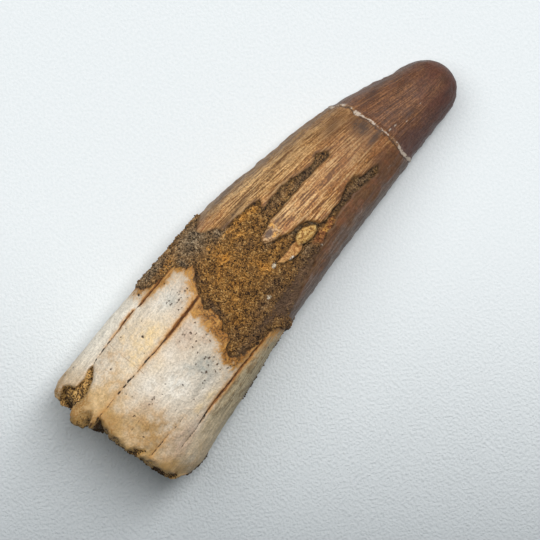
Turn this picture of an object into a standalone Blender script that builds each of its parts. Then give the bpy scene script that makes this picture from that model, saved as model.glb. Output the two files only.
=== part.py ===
"""A spinosaurus tooth, fossil, lying on its side as it would on a table.

One solid, because the tooth grew as one piece. +X runs from the broken root to the
blunt tip, +Y is towards the convex front edge, and +Z is up. The origin is under the
middle of the tooth, on the surface that it lies on.
"""

import math

import bmesh
import bpy
import numpy as np
from mathutils import Matrix, Vector, noise

# Sizes below are in millimetres, and y is measured from a line near the tooth's middle.
# The mesh is centred and turned into metres as its last step.
METRES = 0.001
MIDDLE = (0.0, -0.75)

# Where the root is broken off, and where the tip's round nose begins and ends.
ROOT_END_X = -43.1
NOSE_START_X = 38.5
NOSE_LENGTH = 6.5

# The body's side edges, underside and top, at stations along it:
# x, front edge y, rear edge y, underside z, top z.
STATIONS = (
    (-46.0, 13.3, -15.6, 0.7, 20.8),
    (-41.0, 13.4, -15.4, 0.1, 21.2),
    (-36.0, 13.4, -15.2, -0.3, 21.5),
    (-30.0, 13.5, -14.3, -0.4, 21.6),
    (-20.0, 13.4, -13.1, -0.1, 21.6),
    (-10.0, 13.2, -11.6, 0.3, 21.2),
    (0.0, 12.9, -10.8, 0.5, 20.2),
    (10.0, 11.2, -10.1, 0.2, 18.4),
    (20.0, 9.4, -9.7, -0.2, 15.8),
    (28.0, 7.3, -9.3, -0.4, 13.6),
    (34.0, 5.0, -9.1, -0.2, 11.9),
    (38.0, 3.2, -9.0, 0.2, 10.9),
    (46.0, 2.1, -9.4, 0.3, 10.7),
)

# The broken end of the root, seen from above: y, then how far the rim stands past
# ROOT_END_X towards -X. The underside's rim is plainer.
TOP_RIM = (
    (-15.2, -2.8), (-14.4, -1.5), (-13.2, -0.8), (-9.0, -0.7), (-6.0, -0.2),
    (-3.0, 0.1), (-1.0, -0.1), (0.2, 0.3), (1.4, -0.3), (2.4, -1.4), (3.4, -1.4),
    (4.4, 0.9), (5.6, 1.6), (7.6, 2.2), (8.8, 1.8), (9.4, 0.3), (10.4, 1.0),
    (11.8, 0.9), (12.9, 0.3), (13.4, -1.4),
)
UNDER_RIM = (
    (-15.0, -2.6), (-12.6, -1.7), (-9.0, -2.4), (-5.0, -1.2), (-2.0, -1.9),
    (1.0, -0.9), (5.0, -1.8), (8.0, -0.6), (11.0, -1.2), (13.2, -1.6),
)
RIM_REACH = 8.0  # how far along the root the rim's unevenness carries

# The sandy crust lies in a band between two margins. Each is x, y on the top side,
# then x, y on the underside, both from the rear edge to the front edge.
BONE_MARGIN_TOP = (
    (-8.6, -11.6), (-9.2, -10.4), (-12.0, -9.7), (-15.0, -9.2), (-17.4, -8.2),
    (-18.4, -7.0), (-18.1, -5.8), (-16.2, -5.1), (-15.6, -4.4), (-16.3, -3.1),
    (-14.6, -2.2), (-14.2, -0.6), (-14.6, 0.8), (-15.2, 1.9), (-14.2, 3.2),
    (-13.9, 4.3), (-12.6, 5.6), (-11.7, 7.0), (-10.4, 8.4), (-11.6, 8.8),
    (-12.1, 9.6), (-12.1, 11.0), (-15.5, 11.6), (-18.6, 12.1), (-20.0, 12.9),
)
BONE_MARGIN_UNDER = (
    (-9.0, -10.9), (-12.4, -9.6), (-11.4, -6.4), (-13.6, -3.6), (-12.0, 0.2),
    (-14.6, 3.8), (-12.6, 7.4), (-14.4, 10.2), (-18.2, 12.2),
)
CROWN_MARGIN_TOP = (
    (-4.6, -11.1), (-4.8, -10.1), (-1.6, -9.1), (2.0, -8.0), (6.9, -7.1),
    (6.3, -6.3), (14.0, -6.1), (21.0, -6.0), (24.0, -5.6), (23.0, -4.8),
    (20.6, -3.7), (17.0, -3.6), (10.4, -3.5), (8.9, -2.6), (7.4, -1.8),
    (4.5, -1.1), (2.0, 0.2), (0.6, 1.4), (0.7, 2.3), (8.0, 2.5), (14.0, 2.6),
    (19.6, 2.7), (19.8, 3.4), (18.0, 4.2), (14.2, 4.4), (12.0, 5.1), (5.0, 5.8),
    (3.8, 7.2), (0.0, 8.2), (-2.8, 8.9), (-3.4, 10.4), (-5.0, 11.5), (-4.1, 12.6),
)
CROWN_MARGIN_UNDER = (
    (-4.4, -10.4), (-3.2, -8.9), (1.8, -6.6), (-1.4, -4.0), (2.6, -0.6),
    (-2.2, 2.6), (4.4, 5.2), (0.8, 8.6), (-2.6, 11.4), (-3.8, 12.6),
)

# Bands on the top side, as x, y, half-width along a spine.
CHIP = ((-42.3, 10.9, 0.9), (-41.6, 9.7, 1.2), (-40.0, 9.2, 1.0),
        (-38.0, 9.1, 0.9), (-36.6, 9.7, 0.6), (-35.3, 10.5, 0.3))
ISLAND = ((-1.2, -3.1, 0.5), (1.5, -3.6, 0.9), (4.5, -3.4, 1.0),
          (6.8, -3.2, 1.4), (7.8, -3.6, 1.0))

# The glued break near the tip: x, y on each side.
BREAK_TOP = ((28.2, -7.2), (28.6, -6.0), (29.1, -4.2), (29.1, -1.0), (28.8, 1.5),
             (28.4, 3.5), (28.4, 5.2), (28.0, 6.2), (26.4, 7.4))
BREAK_UNDER = ((28.0, -7.2), (27.2, -4.0), (28.4, -1.0), (27.4, 2.0), (26.2, 5.0),
               (26.3, 7.2))
BREAK_X = 28.5

# Splits along the root: x, y on their side of the tooth, from the rim to their end.
TOP_SPLITS = (
    ((-45.5, 3.4), (-38.0, 3.8), (-31.0, 3.9), (-24.0, 3.8), (-14.6, 4.1)),
    ((-33.0, 10.7), (-27.0, 10.9), (-21.0, 11.1), (-15.0, 11.0)),
    ((-36.0, -10.8), (-30.0, -10.5), (-24.0, -10.0), (-17.0, -9.7), (-11.0, -9.6)),
)
UNDER_SPLITS = (
    ((-45.5, -4.6), (-36.0, -5.0), (-26.0, -4.4), (-15.0, -4.8)),
    ((-45.5, 7.4), (-37.0, 7.8), (-27.0, 7.2), (-19.0, 7.0)),
)
SPLIT_WIDTH = 0.7
SPLIT_DEPTH = 1.1
SPLIT_TAPER = 1.5  # points over which a split opens, where it doesn't start at the rim

# Heights of the relief.
CRUST_RISE_FRONT = 0.5
CRUST_RISE_REAR = 0.45
CRUST_SINK = 0.45
CRUST_LUMPS = 0.4
CREVICE_DEPTH = 0.35
ENAMEL_RIDGE = 0.06
STAVE_SAG = 0.35
CHIP_DEPTH = 1.3
ISLAND_RISE = 0.75
BREAK_BEAD = 0.15
TIP_STEP = 0.15
BREAKAGE = 0.45

# The mesh: columns around the tooth, two to each enamel ridge, and rings along it.
COLUMNS = 76
FACE_RINGS = ((2.7, 0.0), (2.7, 0.2), (2.3, 0.34), (0.6, 0.42), (0.2, 0.6), (0.0, 0.8),
              (0.3, 0.92), (1.0, 0.98))
BODY_ZONES = ((-41.2, -36.0, 5), (-36.0, -19.5, 6), (-19.5, 10.0, 23), (10.0, 26.6, 5))
BREAK_RINGS = (27.4, 28.1, 28.5, 28.9, 30.0)
AFTER_BREAK_RINGS = (31.8, 34.0, 36.2, 38.5)
NOSE_ANGLES = (20, 38, 54, 68, 80, 90)


def smooth_between(low, high, value):
    """0 below low, 1 above high, and an S-curve between them."""
    share = np.clip((value - low) / (high - low), 0.0, 1.0)
    return share * share * (3.0 - 2.0 * share)


def through_points(stations, x, column):
    """A smooth curve through one column of a table of stations, read at x."""
    known = np.array([row[0] for row in stations])
    value = np.array([row[column] for row in stations])
    slope = np.gradient(value, known)
    x = np.clip(x, known[0], known[-1])
    at = np.clip(np.searchsorted(known, x) - 1, 0, len(known) - 2)
    step = known[at + 1] - known[at]
    share = (x - known[at]) / step
    rest = 1.0 - share
    ends = value[at] * rest * rest * (1 + 2 * share) + value[at + 1] * share * share * (1 + 2 * rest)
    bends = slope[at] * step * share * rest * rest - slope[at + 1] * step * share * share * rest
    return ends + bends


def section(x):
    """The cross-section at x: its middle y and z, and its half-width and half-height."""
    front, rear, low, high = (through_points(STATIONS, x, column) for column in (1, 2, 3, 4))
    return (front + rear) / 2, (low + high) / 2, (front - rear) / 2, (high - low) / 2


def on_body(x, angle, share=1.0):
    """A point of the plain body. The angle is 0 on top and a quarter turn at the front edge."""
    mid_y, mid_z, half_width, half_height = section(x)
    y = mid_y + half_width * share * np.sin(angle)
    z = mid_z + half_height * share * np.cos(angle)
    return np.stack([x + 0 * y, y, z], axis=-1)


def angle_at(x, y, top):
    """The angle round the body of a point seen from straight above or below."""
    mid_y, _, half_width, _ = section(x)
    lean = np.arcsin(np.clip((y - mid_y) / half_width, -1.0, 1.0))
    return lean if top else math.pi - lean


def ring_of(top, under):
    """Two lists of x, y points, one for each side, as x against angle once round the tooth."""
    pairs = [(angle_at(x, y, True), x) for x, y in top]
    pairs += [(angle_at(x, y, False), x) for x, y in reversed(under)]
    return sorted(((float(angle), x) for angle, x in pairs))


def x_on_ring(ring, angle):
    """Where a ring_of line is at an angle."""
    known = [angle for angle, _ in ring]
    turned = (angle - known[0]) % (2 * math.pi) + known[0]
    return np.interp(turned, known + [known[0] + 2 * math.pi], [x for _, x in ring] + [ring[0][1]])


def distance_to(points, line, widths=None):
    """How far each point is from a line of 3-D points, less the line's half-width if it has one."""
    best = np.full(points.shape[:-1], 1e9)
    for i, (start, end) in enumerate(zip(line[:-1], line[1:])):
        along = end - start
        share = np.clip((points - start) @ along / max(along @ along, 1e-9), 0.0, 1.0)
        gap = np.linalg.norm(points - start - share[..., None] * along, axis=-1)
        if widths is not None:
            gap = gap - (widths[i] * (1 - share) + widths[i + 1] * share)
        best = np.minimum(best, gap)
    return best


def ring_line(ring):
    """A ring_of line as 3-D points on the body, close enough together to follow it."""
    angles = np.linspace(0, 2 * math.pi, 361)
    return on_body(x_on_ring(ring, angles), angles)


def side_line(points, top=True):
    """x, y points on one side of the tooth as 3-D points on the body."""
    x, y = np.array([p[:2] for p in points]).T
    return on_body(x, angle_at(x, y, top))


def roughness(points, size, seed, octaves=3):
    """Lumps of about the given size, from -1 to 1, at each point."""
    offset = Vector((seed * 17.3, seed * 5.1, seed * 9.7))
    flat = points.reshape(-1, 3)
    found = [noise.fractal(Vector(p) / size + offset, 1.0, 2.0, octaves) for p in flat]
    return np.array(found).reshape(points.shape[:-1])


def ring_places():
    """The rings from the middle of the root's broken face to the tip: x, and a share of full width."""
    places = [(ROOT_END_X + inset, share) for inset, share in FACE_RINGS]
    for start, end, count in BODY_ZONES:
        places += [(start + (end - start) * i / count, 1.0) for i in range(count)]
    places += [(x, 1.0) for x in BREAK_RINGS + AFTER_BREAK_RINGS]
    for degrees in NOSE_ANGLES:
        turn = math.radians(degrees)
        places.append((NOSE_START_X + NOSE_LENGTH * math.sin(turn), math.cos(turn)))
    return np.array(places)


def plain_skin(places, angles):
    """The grid of points before relief, with the rim's and the break's unevenness in x."""
    x = places[:, :1] + 0 * angles
    share = places[:, 1:] + 0 * angles
    rim = ring_of(*[[(ROOT_END_X - past, y) for y, past in side] for side in (TOP_RIM, UNDER_RIM)])
    near_rim = 1.0 - smooth_between(ROOT_END_X, ROOT_END_X + RIM_REACH, x)
    near_edge = smooth_between(0.3, 0.9, share)
    moved = x + (x_on_ring(rim, angles) - ROOT_END_X) * near_rim * near_edge
    line = x_on_ring(ring_of(BREAK_TOP, BREAK_UNDER), angles) - BREAK_X
    moved = moved + line * np.clip(1 - np.abs(x - BREAK_X) / 5.0, 0, 1)
    return on_body(moved, angles + 0 * x, share), x, share


def grid_normals(skin):
    """Outward normals of the grid, whose columns join round the tooth."""
    along = np.gradient(skin, axis=0)
    around = np.roll(skin, -1, axis=1) - np.roll(skin, 1, axis=1)
    normal = np.cross(along, around)
    length = np.linalg.norm(normal, axis=-1, keepdims=True)
    flat = np.broadcast_to(np.array([-1.0, 0.0, 0.0]), normal.shape).copy()
    flat[len(skin) // 2:] = (1.0, 0.0, 0.0)
    return np.where(length > 1e-6, normal / np.maximum(length, 1e-9), flat)


def relief(skin, x, share, angles):
    """How far each point stands out of the plain body."""
    bone_ring = ring_of(BONE_MARGIN_TOP, BONE_MARGIN_UNDER)
    crown_ring = ring_of(CROWN_MARGIN_TOP, CROWN_MARGIN_UNDER)
    turned = angles + 0 * x
    past_bone = np.sign(skin[..., 0] - x_on_ring(bone_ring, turned)) * distance_to(skin, ring_line(bone_ring))
    past_crust = np.sign(skin[..., 0] - x_on_ring(crown_ring, turned)) * distance_to(skin, ring_line(crown_ring))
    crust = smooth_between(-0.5, 0.5, past_bone) * smooth_between(-0.4, 0.4, -past_crust)
    front = smooth_between(0.55, 0.95, np.sin(turned))
    rear = smooth_between(0.7, 0.98, -np.sin(turned))
    height = crust * (CRUST_RISE_FRONT * front + CRUST_RISE_REAR * rear - CRUST_SINK * (1 - front - rear))
    height += crust * CRUST_LUMPS * roughness(skin, 2.2, 1)
    height -= CREVICE_DEPTH * np.exp(-(past_bone / 0.6) ** 2) * (1 - front - rear)

    enamel = smooth_between(0.0, 1.5, past_crust) * smooth_between(0.35, 0.9, share)
    worn = smooth_between(24.0, 34.0, x)
    height += enamel * (1 - worn) * ENAMEL_RIDGE * np.cos(turned * COLUMNS / 2)

    bone = smooth_between(0.0, 1.5, -past_bone) * smooth_between(0.95, 1.0, share)
    for top, splits in ((True, TOP_SPLITS), (False, UNDER_SPLITS)):
        for split in splits:
            height -= bone * STAVE_SAG * np.exp(-distance_to(skin, side_line(split, top)) / 1.6)

    above = smooth_between(-0.2, 0.2, np.cos(turned))
    chip = distance_to(skin, side_line(CHIP), [p[2] for p in CHIP])
    height -= CHIP_DEPTH * above * smooth_between(-0.6, 0.4, -chip)
    island = distance_to(skin, side_line(ISLAND), [p[2] for p in ISLAND])
    height += ISLAND_RISE * above * smooth_between(-0.5, 0.3, -island)

    to_break = np.abs(x - BREAK_X)
    height += BREAK_BEAD * np.exp(-(to_break / 0.35) ** 2)
    height -= TIP_STEP * smooth_between(0.2, 0.9, x - BREAK_X) * share

    broken = (1 - smooth_between(0.9, 1.0, share)) * (x < 0)
    broken = np.maximum(broken, 1 - smooth_between(ROOT_END_X, ROOT_END_X + 3.0, x))
    return height + broken * BREAKAGE * roughness(skin, 2.6, 2)


def tooth_mesh():
    """A grid rolled up into the tooth, its long edges joined and its two ends drawn to a point."""
    places = ring_places()
    angles = (np.arange(COLUMNS) + 0.0)[None, :] * 2 * math.pi / COLUMNS
    skin, x, share = plain_skin(places, angles)
    skin = skin + grid_normals(skin) * relief(skin, x, share, angles)[..., None]
    for end in (0, -1):
        skin[end] = skin[end].mean(axis=0)
    closed = np.concatenate([skin, skin[:, :1]], axis=1)

    bm = bmesh.new()
    bmesh.ops.create_grid(bm, x_segments=COLUMNS, y_segments=len(places) - 1, size=1.0)
    for vertex, place in zip(bm.verts, closed.reshape(-1, 3)):
        vertex.co = place
    bmesh.ops.remove_doubles(bm, verts=bm.verts, dist=1e-4)
    bmesh.ops.recalc_face_normals(bm, faces=bm.faces)
    return bm


def to_object(bm, name):
    """The bmesh as an object in metres."""
    bm.transform(Matrix.Scale(METRES, 4) @ Matrix.Translation((-MIDDLE[0], -MIDDLE[1], 0.0)))
    mesh = bpy.data.meshes.new(name)
    bm.to_mesh(mesh)
    bm.free()
    made = bpy.data.objects.new(name, mesh)
    bpy.context.scene.collection.objects.link(made)
    return made


def as_cutter(made):
    """Marks a helper that is only there to cut."""
    made.hide_render = True
    made.display_type = "WIRE"
    return made


def split_cutter(name, points, top):
    """A wedge that follows a split: open at the surface, sharp below, and thinner at its end."""
    marks = side_line(points, top)
    reach = [Vector(marks[0] + (marks[1] - marks[0]) * i / 3) for i in range(3)]
    path = reach + [Vector(p) for p in marks[1:]]
    bm = bmesh.new()
    corners = bmesh.ops.create_circle(bm, cap_ends=True, segments=3, radius=1.0)["verts"]
    face = corners[0].link_faces[0]
    for i, place in enumerate(path):
        if i:
            grown = bmesh.ops.extrude_discrete_faces(bm, faces=[face])["faces"]
            face = grown[0]
            corners = list(face.verts)
        mid_y, mid_z, half_width, half_height = (float(v) for v in section(np.array(place.x)))
        outward = Vector((0, (place.y - mid_y) / half_width**2, (place.z - mid_z) / half_height**2)).normalized()
        across = outward.cross(Vector((1, 0, 0))).normalized()
        thin = 1.0 - 0.6 * i / (len(path) - 1)
        if path[0].x > ROOT_END_X:
            thin *= min(1.0, 0.2 + i / SPLIT_TAPER)
        spots = (place + outward * 0.9 + across * SPLIT_WIDTH * thin,
                 place + outward * 0.9 - across * SPLIT_WIDTH * thin,
                 place - outward * SPLIT_DEPTH * thin)
        for corner, spot in zip(corners, spots):
            corner.co = spot
    bmesh.ops.holes_fill(bm, edges=bm.edges, sides=3)
    bmesh.ops.recalc_face_normals(bm, faces=bm.faces)
    return as_cutter(to_object(bm, name))


def floor_cutter():
    """A block whose top is the surface that the tooth lies on."""
    depth = 10.0
    bm = bmesh.new()
    bmesh.ops.create_cube(bm, size=1.0)
    bmesh.ops.transform(bm, verts=bm.verts, matrix=Matrix.Diagonal((120.0, 60.0, depth, 1.0)))
    bmesh.ops.translate(bm, verts=bm.verts, vec=(0.0, 0.0, -depth / 2))
    return as_cutter(to_object(bm, "surface_cutter"))


def cut(target, cutter):
    """Takes the cutter's shape out of the target."""
    change = target.modifiers.new(cutter.name, "BOOLEAN")
    change.operation = "DIFFERENCE"
    change.solver = "EXACT"
    change.object = cutter


def fossil_material():
    """One finish for the whole fossil: warm brown, with the soft shine of handled stone."""
    material = bpy.data.materials.new("fossil_tooth")
    material.use_nodes = True
    shader = material.node_tree.nodes["Principled BSDF"]
    shader.inputs["Base Color"].default_value = (0.21, 0.12, 0.06, 1.0)
    shader.inputs["Roughness"].default_value = 0.5
    shader.inputs["Metallic"].default_value = 0.0
    return material


def main():
    for old in list(bpy.data.objects):
        bpy.data.objects.remove(old)
    tooth = to_object(tooth_mesh(), "spinosaurus_tooth")
    tooth.data.materials.append(fossil_material())
    tooth.data.shade_smooth()
    tooth.data.set_sharp_from_angle(angle=math.radians(35))
    for top, splits in ((True, TOP_SPLITS), (False, UNDER_SPLITS)):
        for i, split in enumerate(splits):
            side = "top" if top else "under"
            cut(tooth, split_cutter(f"{side}_split_cutter_{i + 1}", split, top))
    cut(tooth, floor_cutter())


main()
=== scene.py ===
# %% [markdown]
# This lesson dresses a fossil spinosaurus tooth, 90 mm long, that lies on a pale sheet. The imported solid
# gives its real size and place, so it is loaded first and never moved. What is made later has to stay
# inside its box.

# %% Load the solid tooth
import math
from functools import reduce

import bmesh
import bpy
import numpy as np
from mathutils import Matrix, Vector, kdtree, noise


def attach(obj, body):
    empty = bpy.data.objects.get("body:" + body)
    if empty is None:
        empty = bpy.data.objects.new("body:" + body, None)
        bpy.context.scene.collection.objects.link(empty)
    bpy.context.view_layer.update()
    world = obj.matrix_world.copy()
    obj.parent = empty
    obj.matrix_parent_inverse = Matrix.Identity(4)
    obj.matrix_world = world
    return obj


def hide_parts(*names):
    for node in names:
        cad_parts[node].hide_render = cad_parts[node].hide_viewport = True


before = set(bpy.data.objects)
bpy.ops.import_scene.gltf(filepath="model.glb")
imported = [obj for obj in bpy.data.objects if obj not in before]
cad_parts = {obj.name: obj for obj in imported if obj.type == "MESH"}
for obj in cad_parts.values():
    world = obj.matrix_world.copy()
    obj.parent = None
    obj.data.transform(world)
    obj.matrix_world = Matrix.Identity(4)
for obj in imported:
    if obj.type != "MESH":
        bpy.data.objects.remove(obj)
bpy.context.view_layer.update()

NODE = "spinosaurus_tooth"
MM = 0.001


# %% [markdown]
# The picture is taken from straight above, with the tooth lying across it from the lower left
# to the upper right. A long lens from far away keeps the high root from looking larger than
# the low tip. The tooth stays along X, so it is the camera that is turned about its own axis.

# %% Camera
PICTURE_WIDTH = 94.92 * MM  # what the picture's width covers, halfway up the tooth
CAMERA_TURN = math.radians(-50)
CAMERA_OVER = Vector((-2.33, -1.91, 10.0)) * MM
CAMERA_DISTANCE = 3.0
NEAR_CLIP = 0.01

camera = bpy.data.objects.new("camera", bpy.data.cameras.new("camera"))
camera.data.lens = camera.data.sensor_width * CAMERA_DISTANCE / PICTURE_WIDTH
camera.data.clip_start = NEAR_CLIP
camera.location = CAMERA_OVER + Vector((0, 0, CAMERA_DISTANCE))
camera.rotation_euler = (0, 0, CAMERA_TURN)
bpy.context.scene.collection.objects.link(camera)
bpy.context.scene.camera = camera
print(f"camera lens {camera.data.lens:.0f} mm at {CAMERA_DISTANCE} m")

# %% [markdown]
# A finish is built from shader nodes. They could be wired one by one in the node editor, but a
# finish is easier to read when each kind of node is one short call. So `add` makes a node,
# joins its inputs and hands back an output. Where an input is a word, it is the name of a
# number that the mesh carries at each point.

# %% Helpers for shader nodes
def add(tree, kind, inputs=None, out=0, **settings):
    """Adds a node. inputs maps a socket to a value, to another node's output or to a field's name."""
    node = tree.nodes.new("ShaderNode" + kind)
    for name, value in settings.items():
        setattr(node, name, value)
    for key, value in (inputs or {}).items():
        if isinstance(value, str):
            value = add(tree, "Attribute", out="Fac", attribute_name=value)
        if isinstance(value, bpy.types.NodeSocket):
            tree.links.new(value, node.inputs[key])
        else:
            node.inputs[key].default_value = value
    return node.outputs[out]


def calc(tree, operation, first, second=0):
    """Arithmetic on two values."""
    return add(tree, "Math", {0: first, 1: second}, operation=operation)


def both(tree, *values):
    """The product of several masks."""
    return reduce(lambda one, two: calc(tree, "MULTIPLY", one, two), values)


def plus(tree, *values):
    """The sum of several masks or heights."""
    return reduce(lambda one, two: calc(tree, "ADD", one, two), values)


def ramp(tree, value, low, high, to_low=0, to_high=1):
    """Rises smoothly from to_low to to_high as the value goes from low to high."""
    inputs = {"Value": value, "From Min": low, "From Max": high, "To Min": to_low, "To Max": to_high}
    return add(tree, "MapRange", inputs, interpolation_type="SMOOTHSTEP")


print("helpers for values ready")

# %% [markdown]
# Colours are written as red, green and blue from 0 to 255, as a picture shows them, and made
# linear for the shader. A finish is then a first colour with thin coats over it, like paint,
# each laid on through its own mask.

# %% Helpers for colours
def linear(colour):
    """A colour given as red, green and blue from 0 to 255, made linear. A node's output stays."""
    if not isinstance(colour, tuple):
        return colour
    shares = [value / 255 for value in colour]
    return [v / 12.92 if v <= 0.04045 else ((v + 0.055) / 1.055) ** 2.4 for v in shares] + [1.0]


def paint_over(tree, share, under, over):
    """Lays one colour over another."""
    return add(tree, "Mix", {0: share, 6: linear(under), 7: linear(over)}, out=2, data_type="RGBA")


def coats(tree, colour, *steps):
    """Lays several colours over a first one. Each step is a share and the colour to lay on."""
    for share, over in steps:
        colour = paint_over(tree, share, colour, over)
    return colour


def brightened(tree, colour, factor):
    """The colour made brighter or darker by a factor."""
    return add(tree, "HueSaturation", {"Value": factor, "Color": colour})


print("sand tan, made linear:", [round(v, 3) for v in linear((208, 166, 102))])

# %% [markdown]
# Patterns need a place to be drawn at. It could be an unwrapped picture plane, but that would
# stretch them. So they use the point's own place in millimetres, or its place on a straight
# rod for streaks that have to bend with the tooth. Noise is given the size of its lumps.

# %% Helpers for places and noise
def place(tree):
    """Where the point is on the tooth, in millimetres."""
    here = add(tree, "TexCoord", out="Object")
    return add(tree, "VectorMath", {0: here, "Scale": 1 / MM}, operation="SCALE")


def unrolled(tree):
    """Where the point would be if the tooth were a straight rod, in millimetres."""
    return add(tree, "Attribute", out="Vector", attribute_name="rod_place")


def clouds(tree, where, size, detail=2, rough=0.5, out="Fac"):
    """Soft noise whose lumps are about size millimetres across."""
    inputs = {"Vector": where, "Scale": 1 / size, "Detail": detail, "Roughness": rough}
    return add(tree, "TexNoise", inputs, out=out)


def wobbled(tree, where, size, reach):
    """The place pushed about by soft noise, so that a round shape drawn there turns uneven."""
    push = clouds(tree, where, size, 1, 0.5, out="Color")
    push = add(tree, "VectorMath", {0: push, 1: (0.5, 0.5, 0.5)}, operation="SUBTRACT")
    push = add(tree, "VectorMath", {0: push, "Scale": reach}, operation="SCALE")
    return add(tree, "VectorMath", {0: where, 1: push}, operation="ADD")


print("patterns are measured in mm, so", round(1 / MM), "to the metre")

# %% [markdown]
# Every piece ends alike: its mesh is wrapped in an object and linked to the scene, and its
# material starts from the plain shader that a new material has. Operators that add an object
# would do both, but they depend on what is selected, so plain data calls are safer.

# %% Helpers for materials and meshes
def new_material(name, roughness):
    """A material with the plain shader, its node tree and the shader's own inputs."""
    material = bpy.data.materials.new(name)
    material.use_nodes = True
    shader = material.node_tree.nodes["Principled BSDF"]
    shader.inputs["Roughness"].default_value = roughness
    return material, material.node_tree, shader.inputs


def placed(mesh):
    """Puts a finished mesh into the scene, at the origin."""
    made = bpy.data.objects.new(mesh.name, mesh)
    bpy.context.scene.collection.objects.link(made)
    return made


def mesh_of(bm, name):
    """Turns a finished bmesh into a mesh and lets go of it."""
    mesh = bpy.data.meshes.new(name)
    bm.to_mesh(mesh)
    bm.free()
    return mesh


print("helpers for materials and meshes ready")

# %% [markdown]
# The tooth lies on a pale sheet with a faint leathery skin. It could be modelled with its
# grain, but it only catches the soft shadow, so a large flat plane with a little bump will do.
# Its colour is darkened towards the lower edge of the picture as a painted shade, down to a limit for
# views from the side.

# %% The pale sheet
SHEET_SIZE = 6.0
BRIGHT_UNTIL, DIM_OVER = -14.0, 86.0  # millimetres, counted down the picture
DIMMEST = 0.75
SHEET_GRAIN = 0.3  # millimetres
SHEET_TONES = (228, 234, 237), (233, 238, 241)
SHEET_IN_SHADE = (128, 135, 140)
PICTURE_DOWN = (math.sin(CAMERA_TURN), -math.cos(CAMERA_TURN), 0.0)


def pale_sheet():
    """The sheet with its bump and its darker side."""
    bm = bmesh.new()
    bmesh.ops.create_grid(bm, x_segments=1, y_segments=1, size=SHEET_SIZE)
    sheet = placed(mesh_of(bm, "pale_sheet"))
    material, tree, sockets = new_material("pale_sheet", 0.6)
    where = place(tree)
    skin = clouds(tree, where, 0.5, 2, 0.5)
    tone = paint_over(tree, ramp(tree, skin, 0.3, 0.7), *SHEET_TONES)
    down = add(tree, "VectorMath", {0: where, 1: PICTURE_DOWN}, out="Value", operation="DOT_PRODUCT")
    dim = calc(tree, "DIVIDE", calc(tree, "MAXIMUM", calc(tree, "SUBTRACT", down, BRIGHT_UNTIL)), DIM_OVER)
    dim = calc(tree, "MINIMUM", dim, DIMMEST)
    # painted shade: the sheet's colour darkens towards the lower edge of the picture
    tone = paint_over(tree, both(tree, dim, dim), tone, SHEET_IN_SHADE)
    tree.links.new(tone, sockets["Base Color"])
    grained = ramp(tree, dim, 0.1, 0.6, 0.25, 1)
    bump = add(tree, "Bump", {"Height": skin, "Distance": SHEET_GRAIN * MM, "Strength": grained})
    tree.links.new(bump, sockets["Normal"])
    sheet.data.materials.append(material)
    return sheet


sheet = pale_sheet()
print("sheet laid at z = 0")

# %% [markdown]
# The shadows are pale and wide. The deepest one lies beyond the root, and a weaker one along
# the crown's rear edge. One sun would draw a hard edge, so a tall oval lamp stands beyond the
# tip, a round one stands beside the front edge, and a dim bluish world does the rest.

# %% Studio light
LAMPS = (
    # name, azimuth and height above the table in degrees, distance, width, tallness, light on the table
    ("lamp_beyond_the_tip", -2.0, 63.5, 2.0, 0.70, 2.20, 0.68),
    ("lamp_at_the_front", 78.0, 64.0, 1.8, 1.90, 1.90, 0.53),
)
LAMP_COLOUR = (1.0, 0.99, 0.975)
FILL = 0.045
FILL_COLOUR = (0.45, 0.80, 1.0, 1.0)

world = bpy.data.worlds.new("studio")
bpy.context.scene.world = world
world.use_nodes = True
world.node_tree.nodes["Background"].inputs["Color"].default_value = FILL_COLOUR
world.node_tree.nodes["Background"].inputs["Strength"].default_value = FILL


def soft_lamp(name, azimuth, height, distance, width, tallness, light):
    """An oval lamp. Its power is worked out from the light it has to give the table."""
    around, up = math.radians(azimuth), math.radians(height)
    towards = Vector((math.cos(around) * math.cos(up), math.sin(around) * math.cos(up), math.sin(up)))
    lamp = bpy.data.objects.new(name, bpy.data.lights.new(name, "AREA"))
    lamp.data.shape = "ELLIPSE"
    lamp.data.size = width
    lamp.data.size_y = tallness
    lamp.data.energy = light * math.pi ** 2 * distance ** 2 / math.sin(up)
    lamp.data.color = LAMP_COLOUR
    lamp.location = towards * distance
    lamp.rotation_euler = towards.to_track_quat("Z", "Y").to_euler()
    lamp.visible_camera = False
    bpy.context.scene.collection.objects.link(lamp)
    print(f"{name}: {lamp.data.energy:.2f} W at", [round(v, 2) for v in lamp.location])


for settings in LAMPS:
    soft_lamp(*settings)
bpy.context.scene.view_settings.view_transform = "Standard"

# %% [markdown]
# The tooth is a long cone, nearly round, that tapers from the broken root to the tip. It could
# be lofted by hand, but ovals along X are easier to keep exact: a table gives the side edges,
# the underside and the top at a few stations, and a smooth curve runs through them. They are
# the solid's own stations, so the finished tooth fills the solid's box.

# %% The body's outline, in millimetres
MIDDLE_Y = -0.75  # the outline's y is measured from here
ROOT_END_X = -43.1
NOSE_START_X = 38.5
NOSE_LENGTH = 6.5
STATIONS = (
    # x, front edge, rear edge, underside, top
    (-46, 13.3, -15.6, 0.7, 20.8),
    (-41, 13.4, -15.4, 0.1, 21.2),
    (-36, 13.4, -15.2, -0.3, 21.5),
    (-30, 13.5, -14.3, -0.4, 21.6),
    (-20, 13.4, -13.1, -0.1, 21.6),
    (-10, 13.2, -11.6, 0.3, 21.2),
    (0, 12.9, -10.8, 0.5, 20.2),
    (10, 11.2, -10.1, 0.2, 18.4),
    (20, 9.4, -9.7, -0.2, 15.8),
    (28, 7.3, -9.3, -0.4, 13.6),
    (34, 5, -9.1, -0.2, 11.9),
    (38, 3.2, -9, 0.2, 10.9),
    (46, 2.1, -9.4, 0.3, 10.7),
)


def smooth_between(low, high, value):
    """0 below low, 1 above high, and an S-curve between them."""
    share = np.clip((value - low) / (high - low), 0.0, 1.0)
    return share * share * (3.0 - 2.0 * share)


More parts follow.
